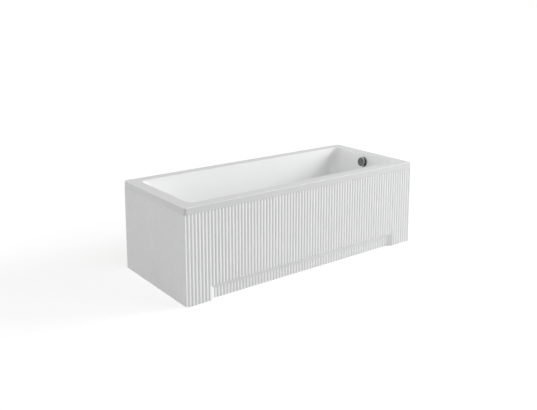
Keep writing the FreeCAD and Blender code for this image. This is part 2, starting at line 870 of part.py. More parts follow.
def swept_round(radius, top, end):
    """Round bar that runs down from top, bends and runs level to end."""
    bend = pipe_bend_radius
    centre = Vector(top.x - bend, 0, end.z + bend)
    bend_start = centre + TO_DRAIN_END * bend
    bend_middle = centre + Vector(math.sqrt(0.5), 0, -math.sqrt(0.5)) * bend
    bend_end = centre + DOWN * bend
    path = Part.Wire([line(top, bend_start), arc(bend_start, bend_middle, bend_end), line(bend_end, end)])
    section = Part.Wire([Part.makeCircle(radius, top, DOWN)])
    return path.makePipeShell([section], True, False)


def overflow_pipe():
    top = down_socket_end + UP * socket_length
    bore = swept_round(pipe_bore_radius, top, inlet_neck_end)
    return swept_round(pipe_radius, top, inlet_neck_end).cut(bore)


def pull_cable():
    top = down_socket_end + UP * (socket_length + cable_tail * 2 + cable_web_height)
    end = inlet_neck_end + TO_HEAD_END * (cable_tail * 2 + cable_web_height)
    return swept_round(cable_radius, top, end)


def pipe_union_nuts():
    return [union_nut(down_socket_end, DOWN), union_nut(inlet_socket_end, TO_DRAIN_END)]


def pipe_seals():
    return [pipe_seal(down_socket_end, DOWN), pipe_seal(inlet_socket_end, TO_DRAIN_END)]


# Drain
sleeve_way_radius = drain_sleeve_radius + sleeve_fit
plug_seal_bottom = drain_seat + plug_rest_gap
plug_bottom = plug_seal_bottom + plug_seal_thickness
lever_reach = Vector(math.cos(math.radians(lever_droop)), 0, math.sin(math.radians(lever_droop))) * lever_arm
lever_pivot = drain_point(body_chamber_floor + lever_pivot_height) + TO_DRAIN_END * lever_reach.x
lever_tip = lever_pivot - lever_reach
lever_pin_half = math.sqrt(body_radius ** 2 - lever_reach.x ** 2) - lever_pin_inset
stem_bottom = lever_tip.z + lever_tip_radius + lever_tip_gap


def drain_upper_seal():
    return ring(drain_flange_radius, sleeve_way_radius, seal_thickness, drain_point(dish_floor))


def drain_lower_seal():
    return ring(body_flange_radius, sleeve_way_radius, lower_seal_thickness, drain_point(body_top))


def drain_flange():
    """Flange with a stepped plug seat, a threaded sleeve and a spider that guides the plug's stem."""
    bore = drain_sleeve_radius - drain_sleeve_wall
    top = drain_flange_thickness
    seat = top - drain_seat_depth
    outline = [(drain_sleeve_radius, 0), (drain_flange_radius, 0),
               (drain_flange_radius, top - drain_flange_bevel),
               (drain_flange_radius - drain_flange_bevel, top), (drain_seat_radius, top),
               (drain_seat_radius, seat), (bore, seat), (bore, -drain_sleeve_length),
               (drain_sleeve_radius, -drain_sleeve_length)]
    flange = revolved(outline, drain_point(drain_flange_under))
    base = drain_point(sleeve_bottom)
    reach = bore + drain_sleeve_wall / 2
    half_bar = spider_bar_width / 2
    bars = [box(base + Vector(-reach, -half_bar, 0), base + Vector(reach, half_bar, spider_height)),
            box(base + Vector(-half_bar, -reach, 0), base + Vector(half_bar, reach, spider_height))]
    spider = fused(bars[0], bars[1], cylinder(spider_hub_radius, spider_height, base))
    return fused(flange, spider).cut(cylinder(stem_radius + running_fit, spider_height, base))


def drain_body():
    """Chamber under the drain with a flange, a side inlet for the overflow and a dip tube into the trap."""
    flange = cylinder(body_flange_radius, body_flange_thickness, drain_point(body_top), DOWN)
    barrel = cylinder(body_radius, body_height, drain_point(body_bottom))
    inlet_start = drain_point(inlet_height)
    inlet_length = inlet_socket_end.x - inlet_start.x
    inlet = cylinder(socket_radius, inlet_length, inlet_start, TO_DRAIN_END)
    dip_bottom = trap_bottom + trap_wall + dip_floor_gap
    dip = cylinder(dip_radius, body_bottom - dip_bottom, drain_point(dip_bottom))
    chamber_height = sleeve_bottom - body_chamber_floor
    chamber = cylinder(body_radius - body_wall, chamber_height, drain_point(body_chamber_floor))
    throat = cylinder(sleeve_way_radius, body_top - sleeve_bottom, drain_point(sleeve_bottom))
    dip_bore = cylinder(dip_radius - dip_wall, body_chamber_floor - dip_bottom, drain_point(dip_bottom))
    inlet_bore = cylinder(pipe_bore_radius, inlet_length, inlet_start, TO_DRAIN_END)
    inlet_socket = cylinder(pipe_radius + socket_fit, socket_length, inlet_neck_end, TO_DRAIN_END)
    pin_hole = cylinder(lever_pin_radius + lever_pin_fit, 2 * lever_pin_half,
                        lever_pivot + TO_FRONT * lever_pin_half, TO_BACK)
    web_base = inlet_neck_end + TO_HEAD_END * (cable_tail + cable_web_height)
    web_reach = pipe_bore_radius + socket_wall / 2
    web = box(web_base + Vector(0, -web_reach, -cable_web_width / 2),
              web_base + Vector(cable_web_height, web_reach, cable_web_width / 2))
    cable_way = cylinder(cable_radius + cable_fit, cable_web_height, web_base, TO_DRAIN_END)
    body = fused(flange, barrel, inlet, dip).cut([chamber, throat, dip_bore, inlet_bore, inlet_socket])
    return fused(body, web).cut([pin_hole, cable_way])


def drain_plug():
    """Round cap with a gently crowned top."""
    top = drain_point(plug_bottom + plug_thickness)
    disc = cylinder(plug_radius, plug_thickness, drain_point(plug_bottom))
    ball_radius = (plug_radius ** 2 + plug_crown ** 2) / (2 * plug_crown)
    ball = Part.makeSphere(ball_radius, top + UP * (plug_crown - ball_radius))
    crown = ball.common(cylinder(plug_radius, plug_crown + cut_margin, top))
    return fused(disc, crown)


def plug_seal():
    outer = plug_radius - plug_rest_gap
    return ring(outer, outer - plug_seal_width, plug_seal_thickness, drain_point(plug_seal_bottom))


def plug_stem():
    return cylinder(stem_radius, plug_bottom - stem_bottom, drain_point(stem_bottom))


def lift_lever():
    """Bell crank: one arm lifts the stem and the other is drawn by the cable."""
    half = lever_width / 2
    shift = TO_BACK * half
    hub = cylinder(lever_hub_radius, lever_width, lever_pivot - shift, TO_BACK)
    tip = cylinder(lever_tip_radius, lever_width, lever_tip - shift, TO_BACK)
    across = (lever_tip - lever_pivot).cross(TO_BACK).normalize() * (lever_thickness / 2)
    lift_arm = prism([lever_pivot + across - shift, lever_tip + across - shift, lever_tip - across - shift,
                      lever_pivot - across - shift], TO_BACK * lever_width)
    half_thickness = lever_thickness / 2
    pull_arm = box(lever_pivot + Vector(-half_thickness, -half, 0),
                   lever_pivot + Vector(half_thickness, half, lever_pull_arm))
    bore = cylinder(lever_pin_radius + lever_pin_fit, lever_width, lever_pivot - shift, TO_BACK)
    return fused(hub, tip, lift_arm, pull_arm).cut(bore)


def lever_pin():
    return cylinder(lever_pin_radius, 2 * lever_pin_half, lever_pivot + TO_FRONT * lever_pin_half, TO_BACK)


# Trap and outlet
outlet_height = trap_top - outlet_drop
outlet_end = drain_point(outlet_height) + TO_BACK * outlet_reach
cap_base = drain_point(outlet_height) + TO_HEAD_END * trap_radius


def trap_cup():
    """Low bottle trap with a lid, a socket for the outlet pipe and a boss for the cleaning cap."""
    middle = drain_point(outlet_height)
    cup = cylinder(trap_radius, trap_height, drain_point(trap_bottom))
    tube = cylinder(outlet_tube_radius, outlet_reach, middle, TO_BACK)
    socket = cylinder(outlet_bore_radius + outlet_wall, outlet_socket_length + outlet_socket_shoulder,
                      outlet_end, TO_FRONT)
    boss = cylinder(cap_boss_radius, trap_radius + cap_boss_length, middle, TO_HEAD_END)
    room = cylinder(trap_radius - trap_wall, trap_height - 2 * trap_wall,
                    drain_point(trap_bottom + trap_wall))
    lid_hole = cylinder(dip_radius + trap_fit, trap_wall, drain_point(trap_top - trap_wall))
    tube_bore = cylinder(outlet_tube_radius - outlet_tube_wall, outlet_reach, middle, TO_BACK)
    socket_bore = cylinder(outlet_bore_radius, outlet_socket_length, outlet_end, TO_FRONT)
    boss_bore = cylinder(cap_boss_radius - cap_boss_wall, trap_radius + cap_boss_length, middle, TO_HEAD_END)
    return fused(cup, tube, socket, boss).cut([room, lid_hole, tube_bore, socket_bore, boss_bore])


def trap_union_nut():
    inner = dip_radius + trap_fit
    return ring(inner + trap_nut_wall, inner, trap_nut_height, drain_point(trap_top))


def cleaning_cap():
    length = cap_boss_length + cap_end
    inner = cap_boss_radius + trap_fit
    blank = cylinder(inner + cap_wall, length, cap_base, TO_HEAD_END)
    blank = blank.cut(cylinder(trap_radius, trap_height, drain_point(trap_bottom)))
    return blank.cut(cylinder(inner, cap_boss_length, cap_base, TO_HEAD_END))


def outlet_nut():
    inner = outlet_bore_radius + outlet_wall + union_fit
    base = outlet_end - TO_BACK * union_overlap
    length = union_overlap + outlet_seal_length + union_end
    blank = cylinder(inner + union_wall, length, base, TO_BACK)
    socket_room = cylinder(inner, union_overlap + outlet_seal_length, base, TO_BACK)
    pipe_way = cylinder(outlet_bore_radius + outlet_nut_fit, length, base, TO_BACK)
    return blank.cut([socket_room, pipe_way])


def outlet_seal():
    return ring(outlet_bore_radius + outlet_wall, outlet_bore_radius + outlet_seal_fit, outlet_seal_length,
                outlet_end, TO_BACK)


def export(name, shape):
    solids = shape if isinstance(shape, list) else [shape]
    whole = solids[0] if len(solids) == 1 else Part.makeCompound(solids)
    whole.exportStep(os.path.join("parts", name + ".step"))


def main():
    os.makedirs("parts", exist_ok=True)
    export("rim_rail_front", rim_side_rail(-1))
    export("rim_rail_back", rim_side_rail(1))
    for rail_name, rail_x in leg_rails.items():
        export("leg_rail_" + rail_name, leg_rail(rail_x))
        for side_name, side_y in leg_sides.items():
            export("leg_stud_" + rail_name + "_" + side_name, leg_stud(rail_x, side_y))
            export("foot_pad_" + rail_name + "_" + side_name, foot_pad(rail_x, side_y))
    for piece in (tub_shell, base_board, rim_head_rail, front_panel, head_panel,
                  panel_clips, panel_clip_screws, panel_floor_brackets, panel_bracket_screws,
                  leg_rail_screws, leg_lock_nuts, overflow_gasket, overflow_body, overflow_plate,
                  overflow_plate_screws, overflow_knob, overflow_spindle, cable_drum, overflow_pipe,
                  pull_cable, pipe_union_nuts, pipe_seals, drain_upper_seal, drain_lower_seal,
                  drain_flange, drain_body, drain_plug, plug_seal, plug_stem, lift_lever, lever_pin,
                  trap_cup, trap_union_nut, cleaning_cap, outlet_nut, outlet_seal):
        export(piece.__name__, piece())


main()
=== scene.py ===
import json
import math

import bmesh
import bpy
from mathutils import Matrix, Vector


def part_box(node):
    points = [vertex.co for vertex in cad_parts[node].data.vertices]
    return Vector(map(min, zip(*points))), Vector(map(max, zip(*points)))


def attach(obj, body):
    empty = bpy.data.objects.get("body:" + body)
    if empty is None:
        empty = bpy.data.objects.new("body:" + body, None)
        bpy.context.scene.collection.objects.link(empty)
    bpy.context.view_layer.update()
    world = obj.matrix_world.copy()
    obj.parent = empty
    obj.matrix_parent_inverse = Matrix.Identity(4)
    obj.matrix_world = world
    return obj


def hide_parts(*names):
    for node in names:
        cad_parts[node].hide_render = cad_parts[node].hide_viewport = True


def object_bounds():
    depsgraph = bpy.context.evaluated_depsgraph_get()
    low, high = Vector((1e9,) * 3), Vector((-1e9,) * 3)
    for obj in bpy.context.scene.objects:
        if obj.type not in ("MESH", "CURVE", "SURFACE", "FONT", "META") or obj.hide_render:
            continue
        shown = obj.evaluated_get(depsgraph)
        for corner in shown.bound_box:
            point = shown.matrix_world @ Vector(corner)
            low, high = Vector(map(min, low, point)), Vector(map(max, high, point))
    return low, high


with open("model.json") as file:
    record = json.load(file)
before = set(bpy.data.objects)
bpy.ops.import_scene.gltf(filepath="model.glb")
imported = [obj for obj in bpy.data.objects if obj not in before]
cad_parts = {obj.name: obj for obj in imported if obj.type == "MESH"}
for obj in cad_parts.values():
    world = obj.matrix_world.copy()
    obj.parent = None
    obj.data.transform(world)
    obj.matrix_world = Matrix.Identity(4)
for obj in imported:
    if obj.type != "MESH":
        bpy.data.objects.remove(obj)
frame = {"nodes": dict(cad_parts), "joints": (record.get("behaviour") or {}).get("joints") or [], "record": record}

CAD_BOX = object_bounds()
JOINTS = {joint["name"]: joint for joint in frame["joints"]}

# Meshes: vertices nearer than this are one, and edges that turn by more than this stay sharp
WELD_DISTANCE = 1e-6
SHARP_TURN = math.radians(32)

# Tub shell, in metres and radians
HALF_LENGTH = CAD_BOX[1][0]
HALF_WIDTH = CAD_BOX[1][1]
TUB_HEIGHT = CAD_BOX[1][2]
BASIN_DEPTH = 0.400
SHELL_WALL = 0.005
LIP_HEIGHT = 0.038
RIM_CORNER = 0.012
RIM_EDGE = 0.003
RIM_SIDE = 0.072
RIM_HEAD_END = 0.070
RIM_DRAIN_END = 0.074
BASIN_TOP_RADIUS = 0.042
BASIN_FLOOR_RADIUS = 0.140
MOUTH_RADIUS = 0.008
FLOOR_BLEND = 0.085
FLAT_SHARE = 0.95
FLOOR_FLAT_INSET = FLAT_SHARE * FLOOR_BLEND
UNDER_FLAT_INSET = FLAT_SHARE * (FLOOR_BLEND + SHELL_WALL)
SIDE_SLOPE = math.radians(6)
BACKREST_SLOPE = math.radians(28)
DRAIN_END_SLOPE = math.radians(10)
DISH_RADIUS = 0.042
DISH_DEPTH = 0.008
DISH_EDGE = 0.003
DISH_FRAME = 0.005
WASTE_RADIUS = 0.026
OVERFLOW_RADIUS = 0.026
LIP_EDGE = 0.0008
LIP_ROOT = 0.003
CORNER_STEPS = 24
BEND_STEPS = 12
BLEND_STEPS = 2 * BEND_STEPS
ROOT_STEPS = 6
DISH_STEPS = 6
LIP_STEPS = 4
WASTE_STEPS = 3
ROUND_STEPS = 64
BACK_FINISH = 1
# Material slot of the rim's flat: a darker copy of the acrylic, painted shade
RIM_PAINTED_SHADE = 2
# Material slot of the lip: a darker copy of the acrylic, painted shade
LIP_PAINTED_SHADE = 3

# Apron panels
TONGUE_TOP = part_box("head_panel")[1].z
TONGUE_HEIGHT = 0.024
TONGUE_SHEET = 0.003
PANEL_TOP = TONGUE_TOP - TONGUE_HEIGHT
PANEL_INSET = 0.002
PANEL_SHEET = 0.004
FRONT_LENGTH = 2 * (HALF_LENGTH - PANEL_INSET)
HEAD_LENGTH = 2 * (HALF_WIDTH - PANEL_INSET)
TONGUE_END = RIM_CORNER - PANEL_INSET
REED_PITCH = 0.02125
REED_HEIGHT = 0.005
REED_VALLEY = 0.003
REED_STEPS = 6
PANEL_BACK = REED_HEIGHT + PANEL_SHEET
TOE_REEDS_IN = 9
TOE_HEIGHT = 0.088
TOE_DEPTH = 0.020
TOE_RECESS = 0.026
TOE_SIDE_RUN = 0.043
TOE_TOP_RUN = 0.038
TOE_ROW_GAP = 0.003
TOE_ROW = TOE_HEIGHT + TOE_ROW_GAP
PLINTH_BACK = TOE_DEPTH + PANEL_BACK

# Rails, feet, fasteners and nuts
RAIL_ARRIS = 0.002
ARRIS_STEPS = 3
STUD_ROOT = 0.0052
STUD_PITCH = 0.00175
STUD_BEVEL = 0.0012
THREAD_STEPS = 24
THREAD_SINK = 0.00006
THREAD_SECTION = ((0, 0.04), (1, 0.44), (1, 0.56), (0, 0.96))
FOOT_RIM = 0.007
FOOT_NECK = 0.011
FOOT_SOCKET = 0.0061
FOOT_EDGE = 0.0015
FOOT_BLEND = 2 * FOOT_EDGE
FOOT_SOCKET_EDGE = FOOT_EDGE / 3
FOOT_EDGE_STEPS = 4
FOOT_BLEND_STEPS = 6
FOOT_SOCKET_STEPS = 3
NUT_BORE = 0.0063
NUT_BEVEL = 0.0006
NUT_FACE = 0.95
NUT_CHAMFER = math.radians(30)
NUT_STEPS = 48
SCREW_HEAD = 0.004
SCREW_HEAD_HEIGHT = 0.0025
SCREW_HEAD_SIDE = 0.0012
SCREW_TOP = 0.0024
SCREW_SHANK = 0.002
SCREW_POINT = 0.0002
SCREW_POINT_LENGTH = 0.003
SCREW_STEPS = 32
SCREW_HEAD_STEPS = 6
CROSS_REACH = 0.0019
CROSS_HALF_WIDTH = 0.0004
CROSS_DEPTH = 0.0012
CROSS_TAPER = 0.55
GRIP_RIBS = 24
GRIP_DEPTH = 0.0013
GRIP_BEVEL = 0.0012
RIB_STEPS = 8
UNION_BORE = 0.0222
OUTLET_ROOM = 0.0241
OUTLET_WAY = 0.0207
OUTLET_END = 0.006
CAP_RIBS = 16
CAP_BORE = 0.0122
CAP_END = 0.004
CAP_DISH = 0.0018
CAP_FACE = 3 * GRIP_BEVEL

# The photograph's view: image size, focal length and row of the lens axis in pixels, angles in degrees
IMAGE_WIDTH = 537
IMAGE_HEIGHT = 410
FOCAL_PIXELS = 700.17
AXIS_ROW = 120
VIEW_AZIMUTH = -37.081
VIEW_ELEVATION = 9.967
VIEW_DISTANCE = 4.37995
VIEW_RIGHT = -0.04035
VIEW_UP = 0.55036
VIEW_TARGET = Vector((0, 0, 0.3))
SENSOR_WIDTH = 36

# Floor, whose own glow goes from near the tub to far off over two distances
FLOOR_REACH = 80
FLOOR_COLOUR = (0.6, 0.6, 0.6, 1)
FLOOR_ROUGHNESS = 0.9
FLOOR_GLOW = (0.54, 0.76)
FLOOR_GLOW_REACH = (1.6, 6.0)

# Surroundings as light and as seen, and soft boxes as (name, azimuth, elevation, distance, size, watts)
WORLD_LIGHT = 0.44
WORLD_WHITE = 1.0
LAMPS = (
    ("key", 66, 24, 8.0, 3.2, 315),
    ("front", 35, 15, 8.0, 3.2, 145),
    ("left", -100, 25, 8.0, 3.2, 85),
    ("back", -160, 12, 8.0, 3.2, 150),
)

UP = Vector((0, 0, 1))
WHITE = (1, 1, 1, 1)

# Acrylic's refraction, and a specular level below the usual half
ACRYLIC_IOR = 1.49
ACRYLIC_SPECULAR = 0.25


# Materials
def new_material(name):
    """Material with a principled shader. Gives the material, its nodes, its links and the shader."""
    material = bpy.data.materials.new(name)
    material.use_nodes = True
    nodes = material.node_tree.nodes
    return material, nodes, material.node_tree.links, nodes["Principled BSDF"]


def add_node(nodes, kind, **inputs):
    node = nodes.new(kind)
    for name, value in inputs.items():
        node.inputs[name].default_value = value
    return node


def object_place(nodes, links, stretch=(1, 1, 1), turn=(0, 0, 0)):
    """Object coordinates, turned and then multiplied along the turned axes."""
    place = nodes.new("ShaderNodeTexCoord")
    mapping = add_node(nodes, "ShaderNodeMapping", Scale=[1 / along for along in stretch], Rotation=turn)
    mapping.vector_type = "TEXTURE"
    links.new(place.outputs["Object"], mapping.inputs["Vector"])
    return mapping.outputs["Vector"]


def colour_ramp(nodes, links, value, stops):
    """Colours by value: stops are (position, (red, green, blue))."""
    ramp = nodes.new("ShaderNodeValToRGB")
    elements = ramp.color_ramp.elements
    while len(elements) < len(stops):
        elements.new(0.5)
    for element, (position, colour) in zip(elements, stops):
        element.position = position
        element.color = (*colour, 1)
    links.new(value, ramp.inputs["Fac"])
    return ramp.outputs["Color"]


def remap(nodes, links, value, low, high, reach=(0, 1)):
    """Value from 0 to 1, or over its own reach, spread from low to high."""
    node = nodes.new("ShaderNodeMapRange")
    node.inputs["From Min"].default_value = reach[0]
    node.inputs["From Max"].default_value = reach[1]
    node.inputs["To Min"].default_value = low
    node.inputs["To Max"].default_value = high
    links.new(value, node.inputs["Value"])
    return node.outputs["Result"]


def add_bump(nodes, links, shader, height, strength, distance):
    bump = add_node(nodes, "ShaderNodeBump", Strength=strength, Distance=distance)
    links.new(height, bump.inputs["Height"])
    links.new(bump.outputs["Normal"], shader.inputs["Normal"])


def noise(nodes, links, place, scale, detail=2.0, roughness=0.5):
    node = add_node(nodes, "ShaderNodeTexNoise", Scale=scale, Detail=detail, Roughness=roughness)
    links.new(place, node.inputs["Vector"])
    return node.outputs["Fac"]


def cells(nodes, links, place, scale):
    """Random grain: gives each grain's own value and the distance from its middle."""
    node = add_node(nodes, "ShaderNodeTexVoronoi", Scale=scale)
    links.new(place, node.inputs["Vector"])
    split = nodes.new("ShaderNodeSeparateColor")
    links.new(node.outputs["Color"], split.inputs["Color"])
    return split.outputs["Red"], node.outputs["Distance"]


def combine(nodes, links, operation, first, second):
    node = nodes.new("ShaderNodeMath")
    node.operation = operation
    links.new(first, node.inputs[0])
    links.new(second, node.inputs[1])
    return node.outputs["Value"]


def acrylic(name, tint, shade, roughness, waviness):
    """Cast acrylic: faint clouds in the colour, slight polish marks and a slow waviness of the surface."""
    material, nodes, links, shader = new_material(name)
    place = object_place(nodes, links)
    cloud = noise(nodes, links, place, 6, 3)
    links.new(colour_ramp(nodes, links, cloud, [(0.3, shade), (0.7, tint)]), shader.inputs["Base Color"])
    polish = noise(nodes, links, place, 55, 4, 0.6)
    links.new(remap(nodes, links, polish, *roughness), shader.inputs["Roughness"])
    add_bump(nodes, links, shader, noise(nodes, links, place, 9, 1), waviness, 0.002)
    shader.inputs["IOR"].default_value = ACRYLIC_IOR
    shader.inputs["Specular IOR Level"].default_value = ACRYLIC_SPECULAR
    return material


def glass_fibre():
    """Resin coat over chopped glass strands, which lie in every direction."""
    material, nodes, links, shader = new_material("glass_fibre")
    strands = None
    for degrees in ((10, 25, 8), (35, 70, 52), (60, 115, 97), (85, 160, 141), (120, 45, 75)):
        turn = [math.radians(angle) for angle in degrees]
        place = object_place(nodes, links, (24, 260, 260), turn)
        layer = noise(nodes, links, place, 1, 2, 0.6)
        strands = layer if strands is None else combine(nodes, links, "MAXIMUM", strands, layer)
    colours = [(0.45, (0.60, 0.57, 0.49)), (0.62, (0.72, 0.69, 0.61)), (0.78, (0.82, 0.80, 0.74))]
    links.new(colour_ramp(nodes, links, strands, colours), shader.inputs["Base Color"])
    links.new(remap(nodes, links, strands, 0.55, 0.35), shader.inputs["Roughness"])
    add_bump(nodes, links, shader, strands, 0.55, 0.002)
    return material


def chipboard():
    """Pressed wood flakes of mixed tone and size under a thin coat."""
    material, nodes, links, shader = new_material("chipboard")
    place = object_place(nodes, links, (1, 1.6, 1.3), (0, 0, 0.5))
    coarse, coarse_middle = cells(nodes, links, place, 130)
    fine, fine_middle = cells(nodes, links, place, 330)
    tone = combine(nodes, links, "MULTIPLY", coarse, fine)
    colours = [(0.02, (0.19, 0.115, 0.06)), (0.25, (0.37, 0.24, 0.13)), (0.8, (0.55, 0.40, 0.245))]
    links.new(colour_ramp(nodes, links, tone, colours), shader.inputs["Base Color"])
    links.new(remap(nodes, links, coarse, 0.5, 0.75), shader.inputs["Roughness"])
    add_bump(nodes, links, shader, combine(nodes, links, "ADD", coarse_middle, fine_middle), 0.35, 0.0012)
    return material


def timber(name, stretch):
    """Planed softwood: growth rings drawn out along the rail, with fine pores."""
    material, nodes, links, shader = new_material(name)
    rings = noise(nodes, links, object_place(nodes, links, stretch), 34, 3, 0.55)
    fine = tuple(3 * along for along in stretch)
    pores = noise(nodes, links, object_place(nodes, links, fine), 120, 4, 0.7)
    grain = combine(nodes, links, "ADD", rings, combine(nodes, links, "MULTIPLY", pores, rings))
    colours = [(0.45, (0.30, 0.165, 0.07)), (0.62, (0.56, 0.37, 0.19)), (0.75, (0.66, 0.47, 0.27)),
               (0.95, (0.47, 0.29, 0.14))]
    links.new(colour_ramp(nodes, links, grain, colours), shader.inputs["Base Color"])
    links.new(remap(nodes, links, pores, 0.45, 0.7), shader.inputs["Roughness"])
    add_bump(nodes, links, shader, grain, 0.25, 0.001)
    return material


def zinc_steel():
    """Bright zinc plate with faint spangles and handling marks."""
    material, nodes, links, shader = new_material("zinc_steel")
    place = object_place(nodes, links)
    spangle, _ = cells(nodes, links, place, 160)
    marks = noise(nodes, links, object_place(nodes, links, (4, 1, 1)), 60, 5, 0.7)
    colours = [(0.0, (0.42, 0.44, 0.46)), (0.5, (0.52, 0.535, 0.55)), (1.0, (0.62, 0.625, 0.63))]
    links.new(colour_ramp(nodes, links, spangle, colours), shader.inputs["Base Color"])
    links.new(remap(nodes, links, combine(nodes, links, "MULTIPLY", spangle, marks), 0.26, 0.6),
              shader.inputs["Roughness"])
    add_bump(nodes, links, shader, marks, 0.12, 0.0006)
    shader.inputs["Metallic"].default_value = 1
    return material


def moulded(name, shade, tint, roughness, grain, relief):
    """Moulded plastic or rubber: slow tone changes from the flow and a fine grain."""
    material, nodes, links, shader = new_material(name)
    place = object_place(nodes, links)
    flow = noise(nodes, links, place, 28, 3)
    links.new(colour_ramp(nodes, links, flow, [(0.3, shade), (0.7, tint)]), shader.inputs["Base Color"])
    fine = noise(nodes, links, place, grain, 3, 0.65)
    links.new(remap(nodes, links, fine, *roughness), shader.inputs["Roughness"])
    add_bump(nodes, links, shader, fine, relief, 0.0005)
    return material


def plated(name, shade, tint, roughness, grain):
    """Plated or turned metal: fine polishing marks in the tone, the roughness and the surface."""
    material, nodes, links, shader = new_material(name)
    marks = noise(nodes, links, object_place(nodes, links, (1, 1, 5)), grain, 5, 0.7)
    links.new(colour_ramp(nodes, links, marks, [(0.3, shade), (0.7, tint)]), shader.inputs["Base Color"])
    links.new(remap(nodes, links, marks, *roughness), shader.inputs["Roughness"])
    add_bump(nodes, links, shader, marks, 0.05, 0.0003)
    shader.inputs["Metallic"].default_value = 1
    return material


def knob_chrome(face, side, roughness):
    """Chrome with a dark face and a side painted brighter, by the surface's turn from the knob's axis: painted
    reflection.
    """
    material, nodes, links, shader = new_material("dark_chrome")
    place = nodes.new("ShaderNodeTexCoord")
    facing = nodes.new("ShaderNodeVectorMath")
    facing.operation = "DOT_PRODUCT"
    links.new(place.outputs["Normal"], facing.inputs[0])
    facing.inputs[1].default_value = JOINTS["knob_turn"]["axis"]
    marks = noise(nodes, links, object_place(nodes, links), 300, 5, 0.7)
    # Tone by the surface's turn from the axis, jittered by polishing marks: the side's brighter tone is painted
    # reflection
    painted_sheen_and_marks = combine(nodes, links, "MULTIPLY", facing.outputs["Value"], remap(nodes, links, marks, 0.9, 1))
    links.new(colour_ramp(nodes, links, painted_sheen_and_marks, [(0.45, side), (0.9, face)]), shader.inputs["Base Color"])
    links.new(remap(nodes, links, marks, *roughness), shader.inputs["Roughness"])
    add_bump(nodes, links, shader, marks, 0.05, 0.0003)
    shader.inputs["Metallic"].default_value = 1
    return material


MATERIALS = {
    "acrylic": acrylic("acrylic", (0.945, 0.947, 0.949), (0.930, 0.932, 0.934), (0.34, 0.46), 0.02),
    "panel_acrylic": acrylic("panel_acrylic", (0.930, 0.932, 0.934), (0.915, 0.917, 0.919),
                             (0.26, 0.38), 0.01),
    "chipboard": chipboard(),
    "timber": timber("timber", (0.08, 1, 1)),
    "zinc_steel": zinc_steel(),
    "foot_plastic": moulded("foot_plastic", (0.016, 0.016, 0.017), (0.026, 0.026, 0.027),
                            (0.38, 0.6), 900, 0.25),
    # Knob chrome: dark face, and a brighter side that is painted reflection
    "dark_chrome": knob_chrome((0.148, 0.150, 0.154), (0.52, 0.522, 0.528), (0.22, 0.34)),
    "bright_chrome": plated("bright_chrome", (0.60, 0.605, 0.61), (0.67, 0.672, 0.675), (0.06, 0.14), 260),
    "brass": plated("brass", (0.46, 0.30, 0.10), (0.58, 0.40, 0.16), (0.2, 0.36), 420),
    "black_rubber": moulded("black_rubber", (0.014, 0.014, 0.014), (0.024, 0.024, 0.024),
                            (0.6, 0.85), 700, 0.3),
    "pipe_plastic": moulded("pipe_plastic", (0.66, 0.66, 0.645), (0.72, 0.72, 0.705),
                            (0.3, 0.48), 500, 0.12),
    "nut_plastic": moulded("nut_plastic", (0.14, 0.145, 0.155), (0.17, 0.175, 0.185),
                           (0.34, 0.52), 600, 0.2),
    "cable_sheath": moulded("cable_sheath", (0.018, 0.018, 0.018), (0.03, 0.03, 0.03),
                            (0.45, 0.65), 800, 0.2),
}
CROSS_TIMBER = timber("cross_timber", (1, 0.08, 1))
# Lighter copy of the knob's chrome for the overflow plate, which lies in the knob's shade: painted light
PLATE_CHROME_PAINTED_LIGHT = plated("plate_chrome_painted_light", (0.30, 0.302, 0.308), (0.36, 0.362, 0.368), (0.20, 0.30), 300)
GLASS_FIBRE = glass_fibre()
# Darker copy of the acrylic for the rim's flat: painted shade, which also leaves the rounded edges on either side
# of the flat as lighter lines, a painted highlight
RIM_PAINTED_SHADE_ACRYLIC = acrylic("rim_acrylic_painted_shade", (0.785, 0.787, 0.790), (0.770, 0.772, 0.775), (0.34, 0.46), 0.02)
# Darker copy of the acrylic for the lip: painted shade
LIP_PAINTED_SHADE_ACRYLIC = acrylic("lip_acrylic_painted_shade", (0.775, 0.777, 0.780), (0.760, 0.762, 0.765), (0.34, 0.46), 0.02)


# Meshes
def make_piece(name, bm, body, replaced, slot, *materials):
    """Turns a bmesh into a smooth piece that rides on a body and stands for CAD nodes."""
    bmesh.ops.remove_doubles(bm, verts=bm.verts, dist=WELD_DISTANCE)
    bmesh.ops.recalc_face_normals(bm, faces=bm.faces)
    mesh = bpy.data.meshes.new(name)
    bm.to_mesh(mesh)
    bm.free()
    for material in materials or (MATERIALS[slot],):
        mesh.materials.append(material)
    mesh.shade_smooth()
    mesh.set_sharp_from_angle(angle=SHARP_TURN)
    piece = bpy.data.objects.new(name, mesh)
    bpy.context.scene.collection.objects.link(piece)
    normals = piece.modifiers.new("normals", "WEIGHTED_NORMAL")
    normals.keep_sharp = True
    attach(piece, body)
    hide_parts(*replaced)


def bend(before, corner, after, radius, steps):
    """Points of a round bend of a path at a corner, tangent to the runs before and after it."""
    way_in = (corner - before).normalized()
    way_out = (after - corner).normalized()
    turn = way_in.angle(way_out)
    across = (way_out - way_in * way_out.dot(way_in)).normalized()
    start = corner - way_in * radius * math.tan(turn / 2)
    points = []
    for step in range(steps + 1):
        angle = turn * step / steps
        points.append(start + radius * (way_in * math.sin(angle) + across * (1 - math.cos(angle))))
    return points


def rounded_rows(corners):
    """Rows of points across a surface, from (row of corner points, bend radius, steps) in order."""
    rows = [corners[0][0]]
    for number in range(1, len(corners) - 1):
        row, radius, steps = corners[number]
        if not radius:
            rows.append(row)
            continue
        bends = [bend(before, corner, after, radius, steps)
                 for before, corner, after in zip(corners[number - 1][0], row, corners[number + 1][0])]
        rows += [list(points) for points in zip(*bends)]
    rows.append(corners[-1][0])
    return rows


